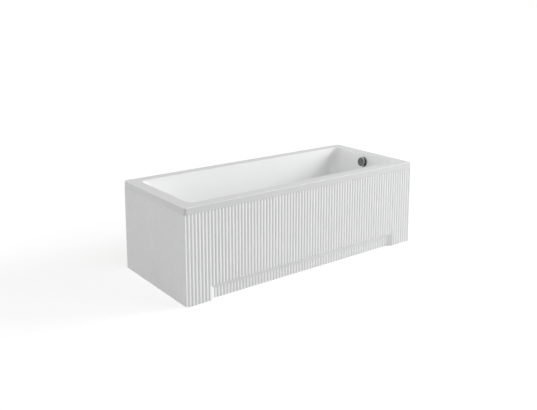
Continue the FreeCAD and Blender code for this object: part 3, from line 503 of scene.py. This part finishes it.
def add_rows(bm, rows, closed=True):
    """Quads between rows of points. Gives the rows of vertices and the faces by row."""
    made = [[bm.verts.new(point) for point in row] for row in rows]
    count = len(rows[0])
    faces = []
    for lower, upper in zip(made, made[1:]):
        strip = []
        for here in range(count if closed else count - 1):
            after = (here + 1) % count
            strip.append(bm.faces.new((lower[here], lower[after], upper[after], upper[here])))
        faces.append(strip)
    return made, faces


def loop_edges(bm, verts):
    return [bm.edges.get((here, after)) or bm.edges.new((here, after))
            for here, after in zip(verts, verts[1:] + verts[:1])]


def fill_between(bm, *loops):
    """Fills the flat area between closed loops of vertices."""
    edges = [edge for loop in loops for edge in loop_edges(bm, loop)]
    return bmesh.ops.triangle_fill(bm, use_beauty=True, edges=edges)["geom"]


def ring_points(centre, axis, radius, steps=ROUND_STEPS):
    """Circle of points about an axis."""
    turn = UP.rotation_difference(axis)
    points = []
    for step in range(steps):
        angle = 2 * math.pi * step / steps
        points.append(centre + turn @ Vector((radius * math.cos(angle), radius * math.sin(angle), 0)))
    return points


def lathe_corners(outline, base, axis, steps=ROUND_STEPS):
    """Corner rows of a turned form: the outline is (radius, height, bend radius, bend steps) in order."""
    return [(ring_points(base + axis * height, axis, radius, steps), edge, edge_steps)
            for radius, height, edge, edge_steps in outline]


def add_lathe(bm, outline, base, axis, steps=ROUND_STEPS):
    """Turned form about an axis, open at its two ends."""
    return add_rows(bm, rounded_rows(lathe_corners(outline, base, axis, steps)))


# Tub shell
def rounded_loop(low_x, high_x, low_y, high_y, radius, height):
    """Points of a level rectangle with round corners, each corner in the same number of steps."""
    corners = ((high_x - radius, high_y - radius), (low_x + radius, high_y - radius),
               (low_x + radius, low_y + radius), (high_x - radius, low_y + radius))
    points = []
    for quarter, (x, y) in enumerate(corners):
        for step in range(CORNER_STEPS + 1):
            turn = math.pi / 2 * (quarter + step / CORNER_STEPS)
            points.append(Vector((x + radius * math.cos(turn), y + radius * math.sin(turn), height)))
    return points


def rim_loop(inset, height):
    """Outline of the rim and lip, drawn in by inset."""
    reach_x = HALF_LENGTH - inset
    reach_y = HALF_WIDTH - inset
    return rounded_loop(-reach_x, reach_x, -reach_y, reach_y, RIM_CORNER - inset, height)


def basin_loop(height, grow=0):
    """Outline of the basin at a height, where its walls lean in and its corners grow rounder downwards."""
    fall = TUB_HEIGHT - height
    radius = BASIN_TOP_RADIUS + (BASIN_FLOOR_RADIUS - BASIN_TOP_RADIUS) * fall / BASIN_DEPTH + grow
    side = HALF_WIDTH - RIM_SIDE - fall * math.tan(SIDE_SLOPE) + grow
    head = RIM_HEAD_END - HALF_LENGTH + fall * math.tan(BACKREST_SLOPE) - grow
    drain = HALF_LENGTH - RIM_DRAIN_END - fall * math.tan(DRAIN_END_SLOPE) + grow
    return rounded_loop(head, drain, -side, side, radius, height)


def shrunk_loop(loop, inset):
    """Loop drawn in by inset, along the directions of a rounded loop's points."""
    drawn = []
    for number, point in enumerate(loop):
        quarter, step = divmod(number, CORNER_STEPS + 1)
        turn = math.pi / 2 * (quarter + step / CORNER_STEPS)
        drawn.append(point - inset * Vector((math.cos(turn), math.sin(turn), 0)))
    return drawn


def build_shell():
    """Formed shell: basin, rim and lip on the show side, with a glass-fibre back."""
    floor = TUB_HEIGHT - BASIN_DEPTH
    floor_under = floor - SHELL_WALL
    rim_under = TUB_HEIGHT - SHELL_WALL
    lip_bottom = TUB_HEIGHT - LIP_HEIGHT
    floor_corner = basin_loop(floor)
    under_corner = basin_loop(floor_under, SHELL_WALL)
    show_side = [(shrunk_loop(floor_corner, FLOOR_FLAT_INSET), 0, 0),
                 (floor_corner, FLOOR_BLEND, BLEND_STEPS),
                 (basin_loop(TUB_HEIGHT), MOUTH_RADIUS, BEND_STEPS),
                 (rim_loop(0, TUB_HEIGHT), RIM_EDGE, BEND_STEPS),
                 (rim_loop(0, lip_bottom), LIP_EDGE, LIP_STEPS),
                 (rim_loop(SHELL_WALL, lip_bottom), LIP_EDGE, LIP_STEPS),
                 (rim_loop(SHELL_WALL, lip_bottom + LIP_ROOT), 0, 0)]
    back_side = [(rim_loop(SHELL_WALL, lip_bottom + LIP_ROOT), 0, 0),
                 (rim_loop(SHELL_WALL, rim_under), LIP_ROOT, ROOT_STEPS),
                 (basin_loop(rim_under, SHELL_WALL), LIP_ROOT, ROOT_STEPS),
                 (under_corner, FLOOR_BLEND + SHELL_WALL, BLEND_STEPS),
                 (shrunk_loop(under_corner, UNDER_FLAT_INSET), 0, 0)]
    bm = bmesh.new()
    show_rows, show_faces = add_rows(bm, rounded_rows(show_side))
    back_rows, back_faces = add_rows(bm, rounded_rows(back_side))

    axis = Vector(JOINTS["knob_turn"]["axis"])
    overflow = Vector(JOINTS["knob_turn"]["pos_m"])
    # The drain-end wall is the last face of a row. Wall, rim and lip are the rows between the bends.
    end_wall = 4 * (CORNER_STEPS + 1) - 1
    wall_row = BLEND_STEPS + 1
    under_row = 2 * (ROOT_STEPS + 1)
    rim_row = wall_row + BEND_STEPS + 1
    lip_row = rim_row + BEND_STEPS + 1
    way_out = axis * -SHELL_WALL * math.cos(DRAIN_END_SLOPE)
    holes = []
    wall_fills = []
    for faces, row, centre in ((show_faces, wall_row, overflow),
                               (back_faces, under_row, overflow + way_out)):
        wall = faces[row][end_wall]
        corners = list(wall.verts)
        bm.faces.remove(wall)
        hole = [bm.verts.new(point) for point in ring_points(centre, axis, OVERFLOW_RADIUS)]
        wall_fills.append(fill_between(bm, corners, hole))
        holes.append(hole)
    show_hole, back_hole = holes
    _, back_fill = wall_fills
    for here in range(ROUND_STEPS):
        after = (here + 1) % ROUND_STEPS
        bm.faces.new((show_hole[here], show_hole[after], back_hole[after], back_hole[here]))

    drain = (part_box("drain_flange")[0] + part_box("drain_flange")[1]) / 2
    drain.z = 0
    dish_floor = floor - DISH_DEPTH
    dish = [(DISH_RADIUS + DISH_FRAME, floor, 0, 0), (DISH_RADIUS, floor, DISH_EDGE, DISH_STEPS),
            (DISH_RADIUS, dish_floor, DISH_EDGE, DISH_STEPS),
            (WASTE_RADIUS, dish_floor, LIP_EDGE, WASTE_STEPS),
            (WASTE_RADIUS, dish_floor - SHELL_WALL, LIP_EDGE, WASTE_STEPS)]
    dish_back = [(WASTE_RADIUS, dish_floor - SHELL_WALL, 0, 0),
                 (DISH_RADIUS + SHELL_WALL, dish_floor - SHELL_WALL, DISH_EDGE, DISH_STEPS),
                 (DISH_RADIUS + SHELL_WALL, floor_under, DISH_EDGE, DISH_STEPS),
                 (DISH_RADIUS + SHELL_WALL + DISH_FRAME, floor_under, 0, 0)]
    dish_rows, _ = add_lathe(bm, dish, drain, UP)
    under_rows, under_faces = add_lathe(bm, dish_back, drain, UP)
    fill_between(bm, show_rows[0], dish_rows[0])
    under_fill = fill_between(bm, back_rows[-1], under_rows[-1])
    for strip in back_faces + under_faces:
        for face in strip:
            if face.is_valid:
                face.material_index = BACK_FINISH
    # The rim's flat takes the darker copy of the acrylic: painted shade
    for face in show_faces[rim_row]:
        face.material_index = RIM_PAINTED_SHADE
    # The lip takes the darker copy of the acrylic: painted shade
    for strip in show_faces[lip_row:]:
        for face in strip:
            face.material_index = LIP_PAINTED_SHADE
    for part in back_fill + under_fill:
        if isinstance(part, bmesh.types.BMFace):
            part.material_index = BACK_FINISH
    make_piece("tub_shell_formed", bm, "tub", ["tub_shell"], "acrylic",
               MATERIALS["acrylic"], GLASS_FIBRE, RIM_PAINTED_SHADE_ACRYLIC, LIP_PAINTED_SHADE_ACRYLIC)


# Apron panels: along is measured from the near corner, inward from the crests of the reeds
def front_side(along, inward, height):
    return Vector((PANEL_INSET - HALF_LENGTH + along, PANEL_INSET - HALF_WIDTH + inward, height))


def head_side(along, inward, height):
    return Vector((PANEL_INSET - HALF_LENGTH + inward, PANEL_INSET - HALF_WIDTH + along, height))


def reed_wave(length, depth=0):
    """(along, inward) points of round crests that run into narrower round valleys, from crest to crest."""
    count = round(length / REED_PITCH)
    pitch = length / count
    flank = 2 * math.atan(2 * REED_HEIGHT / pitch)
    crest = pitch / 2 / math.sin(flank) - REED_VALLEY
    turns = [flank * step / REED_STEPS for step in range(REED_STEPS + 1)]
    half = [(crest * math.sin(turn), depth + crest * (1 - math.cos(turn))) for turn in turns]
    for turn in reversed(turns[:-1]):
        rise = REED_VALLEY * (1 - math.cos(turn))
        half.append((pitch / 2 - REED_VALLEY * math.sin(turn), depth + REED_HEIGHT - rise))
    points = []
    for number in range(count):
        start = number * pitch
        points += [(start + along, inward) for along, inward in half[:-1]]
        points += [(start + pitch - along, inward) for along, inward in reversed(half[1:])]
    points.append((length, depth))
    return points


def toe_side(inward, wall=0):
    """How far along the panel the toe recess starts, at a depth behind the reeds' crests."""
    grow = wall * math.hypot(TOE_SIDE_RUN, TOE_RECESS) / TOE_RECESS
    reed_start = TOE_REEDS_IN * FRONT_LENGTH / round(FRONT_LENGTH / REED_PITCH)
    return reed_start - TOE_SIDE_RUN * (1 - inward / TOE_RECESS) - grow


def toe_top(inward, wall=0):
    """Height of the toe recess's top, at a depth behind the reeds' crests."""
    grow = wall * math.hypot(TOE_TOP_RUN, TOE_RECESS) / TOE_RECESS
    return TOE_HEIGHT - TOE_TOP_RUN * inward / TOE_RECESS + grow


def split_at_recess(points, length):
    """Wave points before, inside and after the toe recess, with shared points where its sides cut them."""
    def past_side(point):
        return point[0] - toe_side(point[1])

    first = next(number for number, point in enumerate(points) if past_side(point) > 0)
    before, inside = points[first - 1], points[first]
    share = past_side(before) / (past_side(before) - past_side(inside))
    cut = tuple(low + share * (high - low) for low, high in zip(before, inside))
    far_cut = (length - cut[0], cut[1])
    return points[:first] + [cut], [cut] + points[first:-first] + [far_cut], [far_cut] + points[-first:]


def add_face(bm, points):
    bm.faces.new([bm.verts.new(point) for point in points])


def add_sheet(bm, place, points, bottoms, tops):
    """Upright strip of wall along the wave points between heights given point by point."""
    rows = [[place(along, inward, height) for (along, inward), height in zip(points, heights)]
            for heights in (bottoms, tops)]
    add_rows(bm, rows, closed=False)


def add_tongue(bm, place, length):
    """Flat upper strip of a panel that stands behind the rim's lip."""
    low = place(TONGUE_END, PANEL_BACK - TONGUE_SHEET, PANEL_TOP - TONGUE_SHEET)
    high = place(length - TONGUE_END, PANEL_BACK, TONGUE_TOP)
    middle = Matrix.Translation((low + high) / 2)
    bmesh.ops.create_cube(bm, size=1, matrix=middle @ Matrix.Diagonal((*(high - low), 1)))


def add_panel_edges(bm, place, points, back):
    """Tongue, top face and two end faces of a panel, whose first end is cut to a mitre."""
    length = points[-1][0]
    top = [place(along, inward, PANEL_TOP) for along, inward in points]
    add_face(bm, top + [place(along, inward, PANEL_TOP) for along, inward in back])
    for end, far in ((points[0], back[-1]), (points[-1], back[0])):
        add_face(bm, [place(*end, 0), place(*end, TOE_ROW), place(*end, PANEL_TOP), place(*far, PANEL_TOP),
                      place(*far, 0)])
    add_tongue(bm, place, length)


def level(points, height):
    """The same height for each point."""
    return [height] * len(points)


def build_head_panel():
    """Reeded panel without a recess."""
    points = reed_wave(HEAD_LENGTH)
    back = [(HEAD_LENGTH, PANEL_BACK), (PANEL_BACK, PANEL_BACK)]
    bm = bmesh.new()
    add_sheet(bm, head_side, points, level(points, 0), level(points, TOE_ROW))
    add_sheet(bm, head_side, points, level(points, TOE_ROW), level(points, PANEL_TOP))
    add_face(bm, [head_side(along, inward, 0) for along, inward in points + back])
    add_face(bm, [head_side(*corner, height) for corner, height in
                  zip(back + back[::-1], (0, 0, PANEL_TOP, PANEL_TOP))])
    add_panel_edges(bm, head_side, points, back)
    make_piece("head_panel_reeded", bm, "tub", ["head_panel"], "panel_acrylic")


def build_front_panel():
    """Reeded panel with a slanted toe recess, whose floor is a reeded plinth."""
    length = FRONT_LENGTH
    near, middle, far = split_at_recess(reed_wave(length), length)
    _, plinth, _ = split_at_recess(reed_wave(length, TOE_DEPTH), length)
    middle_cut = [toe_top(inward) for _, inward in middle]
    plinth_cut = [toe_top(inward) for _, inward in plinth]
    bm = bmesh.new()
    add_sheet(bm, front_side, middle, middle_cut, level(middle, TOE_ROW))
    for run in (near[:-1], far[1:]):
        add_sheet(bm, front_side, run, level(run, 0), level(run, TOE_ROW))
    for run in (near, middle, far):
        add_sheet(bm, front_side, run, level(run, TOE_ROW), level(run, PANEL_TOP))
    add_sheet(bm, front_side, plinth, level(plinth, 0), plinth_cut)
    lower = [front_side(*point, height) for point, height in zip(middle, middle_cut)]
    upper = [front_side(*point, height) for point, height in zip(plinth, plinth_cut)]
    for edge, beside, corner in ((near[-1], near[-2], lower[0]), (far[0], far[1], lower[-1])):
        strip = [front_side(*beside, 0), front_side(*edge, 0), corner, front_side(*edge, TOE_ROW),
                 front_side(*beside, TOE_ROW)]
        add_face(bm, strip)
    add_face(bm, lower + upper[::-1])
    for end in (0, -1):
        add_face(bm, [front_side(*middle[end], 0), lower[end], upper[end], front_side(*plinth[end], 0)])

    sheet_side = toe_side(PANEL_BACK, PANEL_SHEET)
    skin_side = toe_side(PLINTH_BACK, PANEL_SHEET)
    sheet_top = toe_top(PANEL_BACK, PANEL_SHEET)
    skin_top = toe_top(PLINTH_BACK, PANEL_SHEET)
    back = [(length, PANEL_BACK), (length - sheet_side, PANEL_BACK), (length - skin_side, PLINTH_BACK),
            (skin_side, PLINTH_BACK), (sheet_side, PANEL_BACK), (PANEL_BACK, PANEL_BACK)]
    tops = [PANEL_TOP, sheet_top, skin_top, skin_top, sheet_top, PANEL_TOP]
    floor = [front_side(*point, 0) for point in near + plinth + far + back]
    add_face(bm, floor)
    foot = [front_side(*corner, 0) for corner in back]
    head = [front_side(*corner, height) for corner, height in zip(back, tops)]
    add_face(bm, [foot[0], foot[1], head[1], head[4], foot[4], foot[5], head[5], head[0]])
    add_face(bm, [foot[1], foot[2], head[2], head[1]])
    add_face(bm, [foot[2], foot[3], head[3], head[2]])
    add_face(bm, [foot[3], foot[4], head[4], head[3]])
    add_face(bm, [head[1], head[2], head[3], head[4]])
    add_panel_edges(bm, front_side, near + middle[1:] + far[1:], [back[0], back[-1]])
    make_piece("front_panel_reeded", bm, "tub", ["front_panel"], "panel_acrylic")


# Rails, feet, fasteners and nuts
def solid_boxes(node):
    """Lowest and highest corners of each separate solid of a CAD node."""
    bm = bmesh.new()
    bm.from_mesh(frame["nodes"][node].data)
    bmesh.ops.remove_doubles(bm, verts=bm.verts, dist=WELD_DISTANCE)
    boxes = []
    seen = set()
    for first in bm.verts:
        if first in seen:
            continue
        seen.add(first)
        solid = [first]
        for vert in solid:
            for edge in vert.link_edges:
                other = edge.other_vert(vert)
                if other not in seen:
                    seen.add(other)
                    solid.append(other)
        spans = list(zip(*(vert.co for vert in solid)))
        boxes.append((Vector(map(min, spans)), Vector(map(max, spans))))
    bm.free()
    return boxes


def build_rails():
    """Planed rails under the rim, with eased edges and the grain along each rail."""
    for node, wood in (("rim_rail_front", MATERIALS["timber"]), ("rim_rail_back", MATERIALS["timber"]),
                       ("rim_head_rail", CROSS_TIMBER)):
        low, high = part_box(node)
        bm = bmesh.new()
        middle = Matrix.Translation((low + high) / 2)
        bmesh.ops.create_cube(bm, size=1, matrix=middle @ Matrix.Diagonal((*(high - low), 1)))
        bmesh.ops.bevel(bm, geom=bm.edges, offset=RAIL_ARRIS, segments=ARRIS_STEPS, profile=0.5,
                        affect="EDGES")
        make_piece(node + "_planed", bm, "tub", [node], "timber", wood)


def add_stud(bm, low, high):
    """Threaded stud: a core with bevelled ends and one ridge wound round it."""
    base = Vector(((low.x + high.x) / 2, (low.y + high.y) / 2, low.z))
    length = high.z - low.z
    crest = (high.x - low.x) / 2
    core = [(STUD_ROOT - STUD_BEVEL, 0, 0, 0), (STUD_ROOT, STUD_BEVEL, 0, 0),
            (STUD_ROOT, length - STUD_BEVEL, 0, 0), (STUD_ROOT - STUD_BEVEL, length, 0, 0)]
    rows, _ = add_lathe(bm, core, base, UP, THREAD_STEPS)
    rise = STUD_PITCH / THREAD_STEPS
    root = STUD_ROOT - THREAD_SINK
    ridge = []
    for step in range(int((length - 2 * STUD_BEVEL - STUD_PITCH) / rise)):
        turn = 2 * math.pi * step / THREAD_STEPS
        section = []
        for out, share in THREAD_SECTION:
            radius = root + out * (crest - root)
            height = STUD_BEVEL + rise * step + STUD_PITCH * share
            section.append(base + Vector((radius * math.cos(turn), radius * math.sin(turn), height)))
        ridge.append(section)
    turns, _ = add_rows(bm, ridge)
    for end in (rows[0], rows[-1], turns[0], turns[-1]):
        bm.faces.new(end)


def add_foot_pad(bm, low, high, stud_end):
    """Wide foot with a soft edge, whose cone rises to a neck round the stud, with a socket for its end."""
    base = Vector(((low.x + high.x) / 2, (low.y + high.y) / 2, low.z))
    radius = (high.x - low.x) / 2
    height = high.z - low.z
    shape = [(FOOT_NECK, 0, 0, 0), (radius, 0, FOOT_EDGE, FOOT_EDGE_STEPS),
             (radius, FOOT_RIM, FOOT_BLEND, FOOT_BLEND_STEPS),
             (FOOT_NECK, height - FOOT_RIM, FOOT_BLEND, FOOT_BLEND_STEPS),
             (FOOT_NECK, height, FOOT_EDGE, FOOT_EDGE_STEPS),
             (FOOT_SOCKET, height, FOOT_SOCKET_EDGE, FOOT_SOCKET_STEPS),
             (FOOT_SOCKET, stud_end - low.z, 0, 0)]
    rows, _ = add_lathe(bm, shape, base, UP)
    bm.faces.new(rows[0])
    bm.faces.new(rows[-1])


def build_feet():
    """Stud and pad of each levelling foot, on that foot's body."""
    for corner in ("head_front", "head_back", "drain_front", "drain_back"):
        body = "foot_" + corner
        stud_node = "leg_stud_" + corner
        pad_node = "foot_pad_" + corner
        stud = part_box(stud_node)
        bm = bmesh.new()
        add_stud(bm, *stud)
        make_piece("leg_stud_threaded_" + corner, bm, body, [stud_node], "zinc_steel")
        bm = bmesh.new()
        add_foot_pad(bm, *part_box(pad_node), stud[0].z)
        make_piece("foot_pad_moulded_" + corner, bm, body, [pad_node], "foot_plastic")


def add_hexagon_nut(bm, low, high):
    """Nut with chamfered corners and a bevelled bore."""
    middle = (low + high) / 2
    flat = (high.y - low.y) / 2
    face = NUT_FACE * flat

    def loop(radius, height):
        return ring_points(Vector((middle.x, middle.y, height)), UP, radius, NUT_STEPS)

    def chamfer_edge(height, side):
        points = []
        for step in range(NUT_STEPS):
            turn = 2 * math.pi * step / NUT_STEPS
            reach = flat / math.cos(turn % (math.pi / 3) - math.pi / 6)
            fall = (reach - face) * math.tan(NUT_CHAMFER)
            points.append(Vector((middle.x + reach * math.cos(turn), middle.y + reach * math.sin(turn),
                                  height + side * fall)))
        return points

    rows = [loop(NUT_BORE, low.z + NUT_BEVEL), loop(NUT_BORE + NUT_BEVEL, low.z), loop(face, low.z),
            chamfer_edge(low.z, 1), chamfer_edge(high.z, -1), loop(face, high.z),
            loop(NUT_BORE + NUT_BEVEL, high.z), loop(NUT_BORE, high.z - NUT_BEVEL)]
    add_rows(bm, rows + rows[:1])


def add_screw(bm, seat, outward, reach):
    """Pan-head screw with a cross recess: its head stands outward from the seat."""
    form = [(SCREW_POINT, -reach, 0, 0), (SCREW_SHANK, SCREW_POINT_LENGTH - reach, 0, 0),
            (SCREW_SHANK, 0, 0, 0), (SCREW_HEAD, 0, 0, 0),
            (SCREW_HEAD, SCREW_HEAD_SIDE, SCREW_HEAD_SIDE, SCREW_HEAD_STEPS),
            (SCREW_TOP, SCREW_HEAD_HEIGHT, 0, 0)]
    rows, _ = add_lathe(bm, form, seat, outward, SCREW_STEPS)
    bm.faces.new(rows[0])
    turn = UP.rotation_difference(outward)
    quarter = [(CROSS_REACH, CROSS_HALF_WIDTH), (CROSS_HALF_WIDTH, CROSS_HALF_WIDTH),
               (CROSS_HALF_WIDTH, CROSS_REACH)]
    cross = []
    for number in range(4):
        arm = Matrix.Rotation(math.pi / 2 * number, 3, "Z")
        cross += [arm @ Vector((x, y, SCREW_HEAD_HEIGHT)) for x, y in quarter]
    foot = [Vector((corner.x * CROSS_TAPER, corner.y * CROSS_TAPER, corner.z - CROSS_DEPTH))
            for corner in cross]
    recess, _ = add_rows(bm, [[seat + turn @ corner for corner in row] for row in (cross, foot)])
    fill_between(bm, rows[-1], recess[0])
    bm.faces.new(recess[1])


def build_fasteners():
    """Nuts on the studs, and screws whose heads face down or into the tub."""
    bm = bmesh.new()
    for low, high in solid_boxes("leg_lock_nuts"):
        add_hexagon_nut(bm, low, high)
    make_piece("leg_lock_nuts_chamfered", bm, "tub", ["leg_lock_nuts"], "zinc_steel")
    for node, facing in (("panel_clip_screws", -1), ("leg_rail_screws", -1), ("panel_bracket_screws", 1)):
        bm = bmesh.new()
        for low, high in solid_boxes(node):
            size = high - low
            along = max(range(3), key=lambda axis: abs(size[axis] - 2 * SCREW_HEAD))
            outward = Vector((0, 0, 0))
            outward[along] = facing
            seat = (low + high) / 2
            seat += outward * (size[along] / 2 - SCREW_HEAD_HEIGHT)
            add_screw(bm, seat, outward, size[along] - SCREW_HEAD_HEIGHT)
        make_piece(node + "_cross_head", bm, "tub", [node], "zinc_steel")


def ribbed_points(centre, axis, radius, ribs):
    """Circle of points with rounded ribs round it, inside the radius."""
    points = ring_points(centre, axis, radius, ribs * RIB_STEPS)
    drawn = []
    for number, point in enumerate(points):
        inset = GRIP_DEPTH / 2 * (1 - math.cos(2 * math.pi * number / RIB_STEPS))
        drawn.append(point + (centre - point).normalized() * inset)
    return drawn


def add_grip(bm, base, axis, radius, length, ribs, start, end):
    """Ribbed hand nut: start and end are the (radius, height) points of its bore and faces, in order."""
    def loop(reach, height):
        return ring_points(base + axis * height, axis, reach, ribs * RIB_STEPS)

    face = radius - GRIP_DEPTH - GRIP_BEVEL
    rows = [loop(*point) for point in start] + [loop(face, 0)]
    rows += [ribbed_points(base + axis * height, axis, radius, ribs)
             for height in (GRIP_BEVEL, length - GRIP_BEVEL)]
    rows += [loop(face, length)] + [loop(*point) for point in end]
    return add_rows(bm, rows)[0]


def build_grips():
    """Ribbed nuts of the trap and its cleaning cap."""
    low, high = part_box("trap_union_nut")
    middle = (low + high) / 2
    length = high.z - low.z
    bm = bmesh.new()
    add_grip(bm, Vector((middle.x, middle.y, low.z)), UP, (high.x - low.x) / 2, length, GRIP_RIBS,
             [(UNION_BORE, length), (UNION_BORE, 0)], [(UNION_BORE, length)])
    make_piece("trap_union_nut_ribbed", bm, "tub", ["trap_union_nut"], "nut_plastic")

    low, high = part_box("outlet_nut")
    middle = (low + high) / 2
    length = high.y - low.y
    room_end = length - OUTLET_END
    bm = bmesh.new()
    add_grip(bm, Vector((middle.x, low.y, middle.z)), Vector((0, 1, 0)), (high.x - low.x) / 2, length,
             GRIP_RIBS, [(OUTLET_WAY, room_end), (OUTLET_ROOM, room_end), (OUTLET_ROOM, 0)],
             [(OUTLET_WAY, length), (OUTLET_WAY, room_end)])
    make_piece("outlet_nut_ribbed", bm, "tub", ["outlet_nut"], "nut_plastic")

    low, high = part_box("cleaning_cap")
    middle = (low + high) / 2
    length = high.x - low.x
    radius = (high.y - low.y) / 2
    dish = radius - GRIP_DEPTH - CAP_FACE
    bm = bmesh.new()
    rows = add_grip(bm, Vector((high.x, middle.y, middle.z)), Vector((-1, 0, 0)), radius, length, CAP_RIBS,
                    [(CAP_BORE, length - CAP_END), (CAP_BORE, 0)],
                    [(dish, length), (dish - CAP_DISH, length - CAP_DISH)])
    bm.faces.new(rows[0])
    bm.faces.new(rows[-1])
    make_piece("cleaning_cap_ribbed", bm, "tub", ["cleaning_cap"], "nut_plastic")


# Stage
def seen_directly(nodes, links):
    """1 for what the camera sees, also in a reflection or through glass, and 0 for what lights the tub."""
    path = nodes.new("ShaderNodeLightPath").outputs
    beyond = combine(nodes, links, "MAXIMUM", path["Is Glossy Ray"], path["Is Transmission Ray"])
    return combine(nodes, links, "MAXIMUM", path["Is Camera Ray"], beyond)


def build_floor():
    """Pale floor that keeps the tub's shadow and is white elsewhere."""
    mesh = bpy.data.meshes.new("floor")
    corners = [(x, y, 0) for x, y in ((-1, -1), (1, -1), (1, 1), (-1, 1))]
    mesh.from_pydata([Vector(corner) * FLOOR_REACH for corner in corners], [], [(0, 1, 2, 3)])
    floor = bpy.data.objects.new("floor", mesh)
    bpy.context.scene.collection.objects.link(floor)
    material, nodes, links, shader = new_material("floor")
    shader.inputs["Base Color"].default_value = FLOOR_COLOUR
    shader.inputs["Roughness"].default_value = FLOOR_ROUGHNESS
    shader.inputs["Emission Color"].default_value = WHITE
    place = nodes.new("ShaderNodeTexCoord")
    reach = nodes.new("ShaderNodeVectorMath")
    reach.operation = "LENGTH"
    links.new(place.outputs["Object"], reach.inputs[0])
    glow = remap(nodes, links, reach.outputs["Value"], *FLOOR_GLOW, FLOOR_GLOW_REACH)
    seen = combine(nodes, links, "MULTIPLY", seen_directly(nodes, links), glow)
    links.new(seen, shader.inputs["Emission Strength"])
    mesh.materials.append(material)


def build_world():
    """White surroundings that light the tub at a plain level."""
    world = bpy.data.worlds.new("studio")
    bpy.context.scene.world = world
    world.use_nodes = True
    nodes = world.node_tree.nodes
    links = world.node_tree.links
    background = nodes["Background"]
    background.inputs["Color"].default_value = WHITE
    strength = remap(nodes, links, seen_directly(nodes, links), WORLD_LIGHT, WORLD_WHITE)
    links.new(strength, background.inputs["Strength"])


def build_lamps():
    """Soft boxes that face the tub, and that neither the camera nor reflections show."""
    for name, azimuth, elevation, distance, size, watts in LAMPS:
        data = bpy.data.lights.new(name, "AREA")
        data.energy = watts
        data.size = size
        lamp = bpy.data.objects.new(name, data)
        bpy.context.scene.collection.objects.link(lamp)
        back = away_from_target(azimuth, elevation)
        lamp.location = VIEW_TARGET + back * distance
        lamp.rotation_euler = back.to_track_quat("Z", "Y").to_euler()
        lamp.visible_camera = False
        lamp.visible_glossy = False


def away_from_target(azimuth, elevation):
    """Direction from the tub to a place: azimuth is from the front towards the drain end."""
    turn = math.radians(azimuth)
    rise = math.radians(elevation)
    return Vector((math.sin(turn) * math.cos(rise), -math.cos(turn) * math.cos(rise), math.sin(rise)))


def build_camera():
    """Camera at the photograph's view."""
    back = away_from_target(VIEW_AZIMUTH, VIEW_ELEVATION)
    right = UP.cross(back).normalized()
    up = back.cross(right)
    place = VIEW_TARGET + back * VIEW_DISTANCE + right * VIEW_RIGHT + up * VIEW_UP
    data = bpy.data.cameras.new("camera")
    camera = bpy.data.objects.new("camera", data)
    bpy.context.scene.collection.objects.link(camera)
    turn = Matrix((right, up, back)).transposed().to_4x4()
    camera.matrix_world = Matrix.Translation(place) @ turn
    data.sensor_width = SENSOR_WIDTH
    data.lens = FOCAL_PIXELS * SENSOR_WIDTH / IMAGE_WIDTH
    data.shift_y = (AXIS_ROW - IMAGE_HEIGHT / 2) / IMAGE_WIDTH
    bpy.context.scene.camera = camera


# The CAD nodes take their slots' materials, and the new pieces stand for some of them
for part in frame["record"]["subparts"]:
    node = frame["nodes"][part["node"]]
    node.data.materials.clear()
    node.data.materials.append(MATERIALS[part["material_slot"]])
# The overflow plate gets the lighter chrome copy: painted light
frame["nodes"]["overflow_plate"].data.materials[0] = PLATE_CHROME_PAINTED_LIGHT

build_shell()
build_head_panel()
build_front_panel()
build_rails()
build_feet()
build_fasteners()
build_grips()
build_floor()
build_world()
build_lamps()
build_camera()
bpy.context.scene.view_settings.view_transform = "Standard"
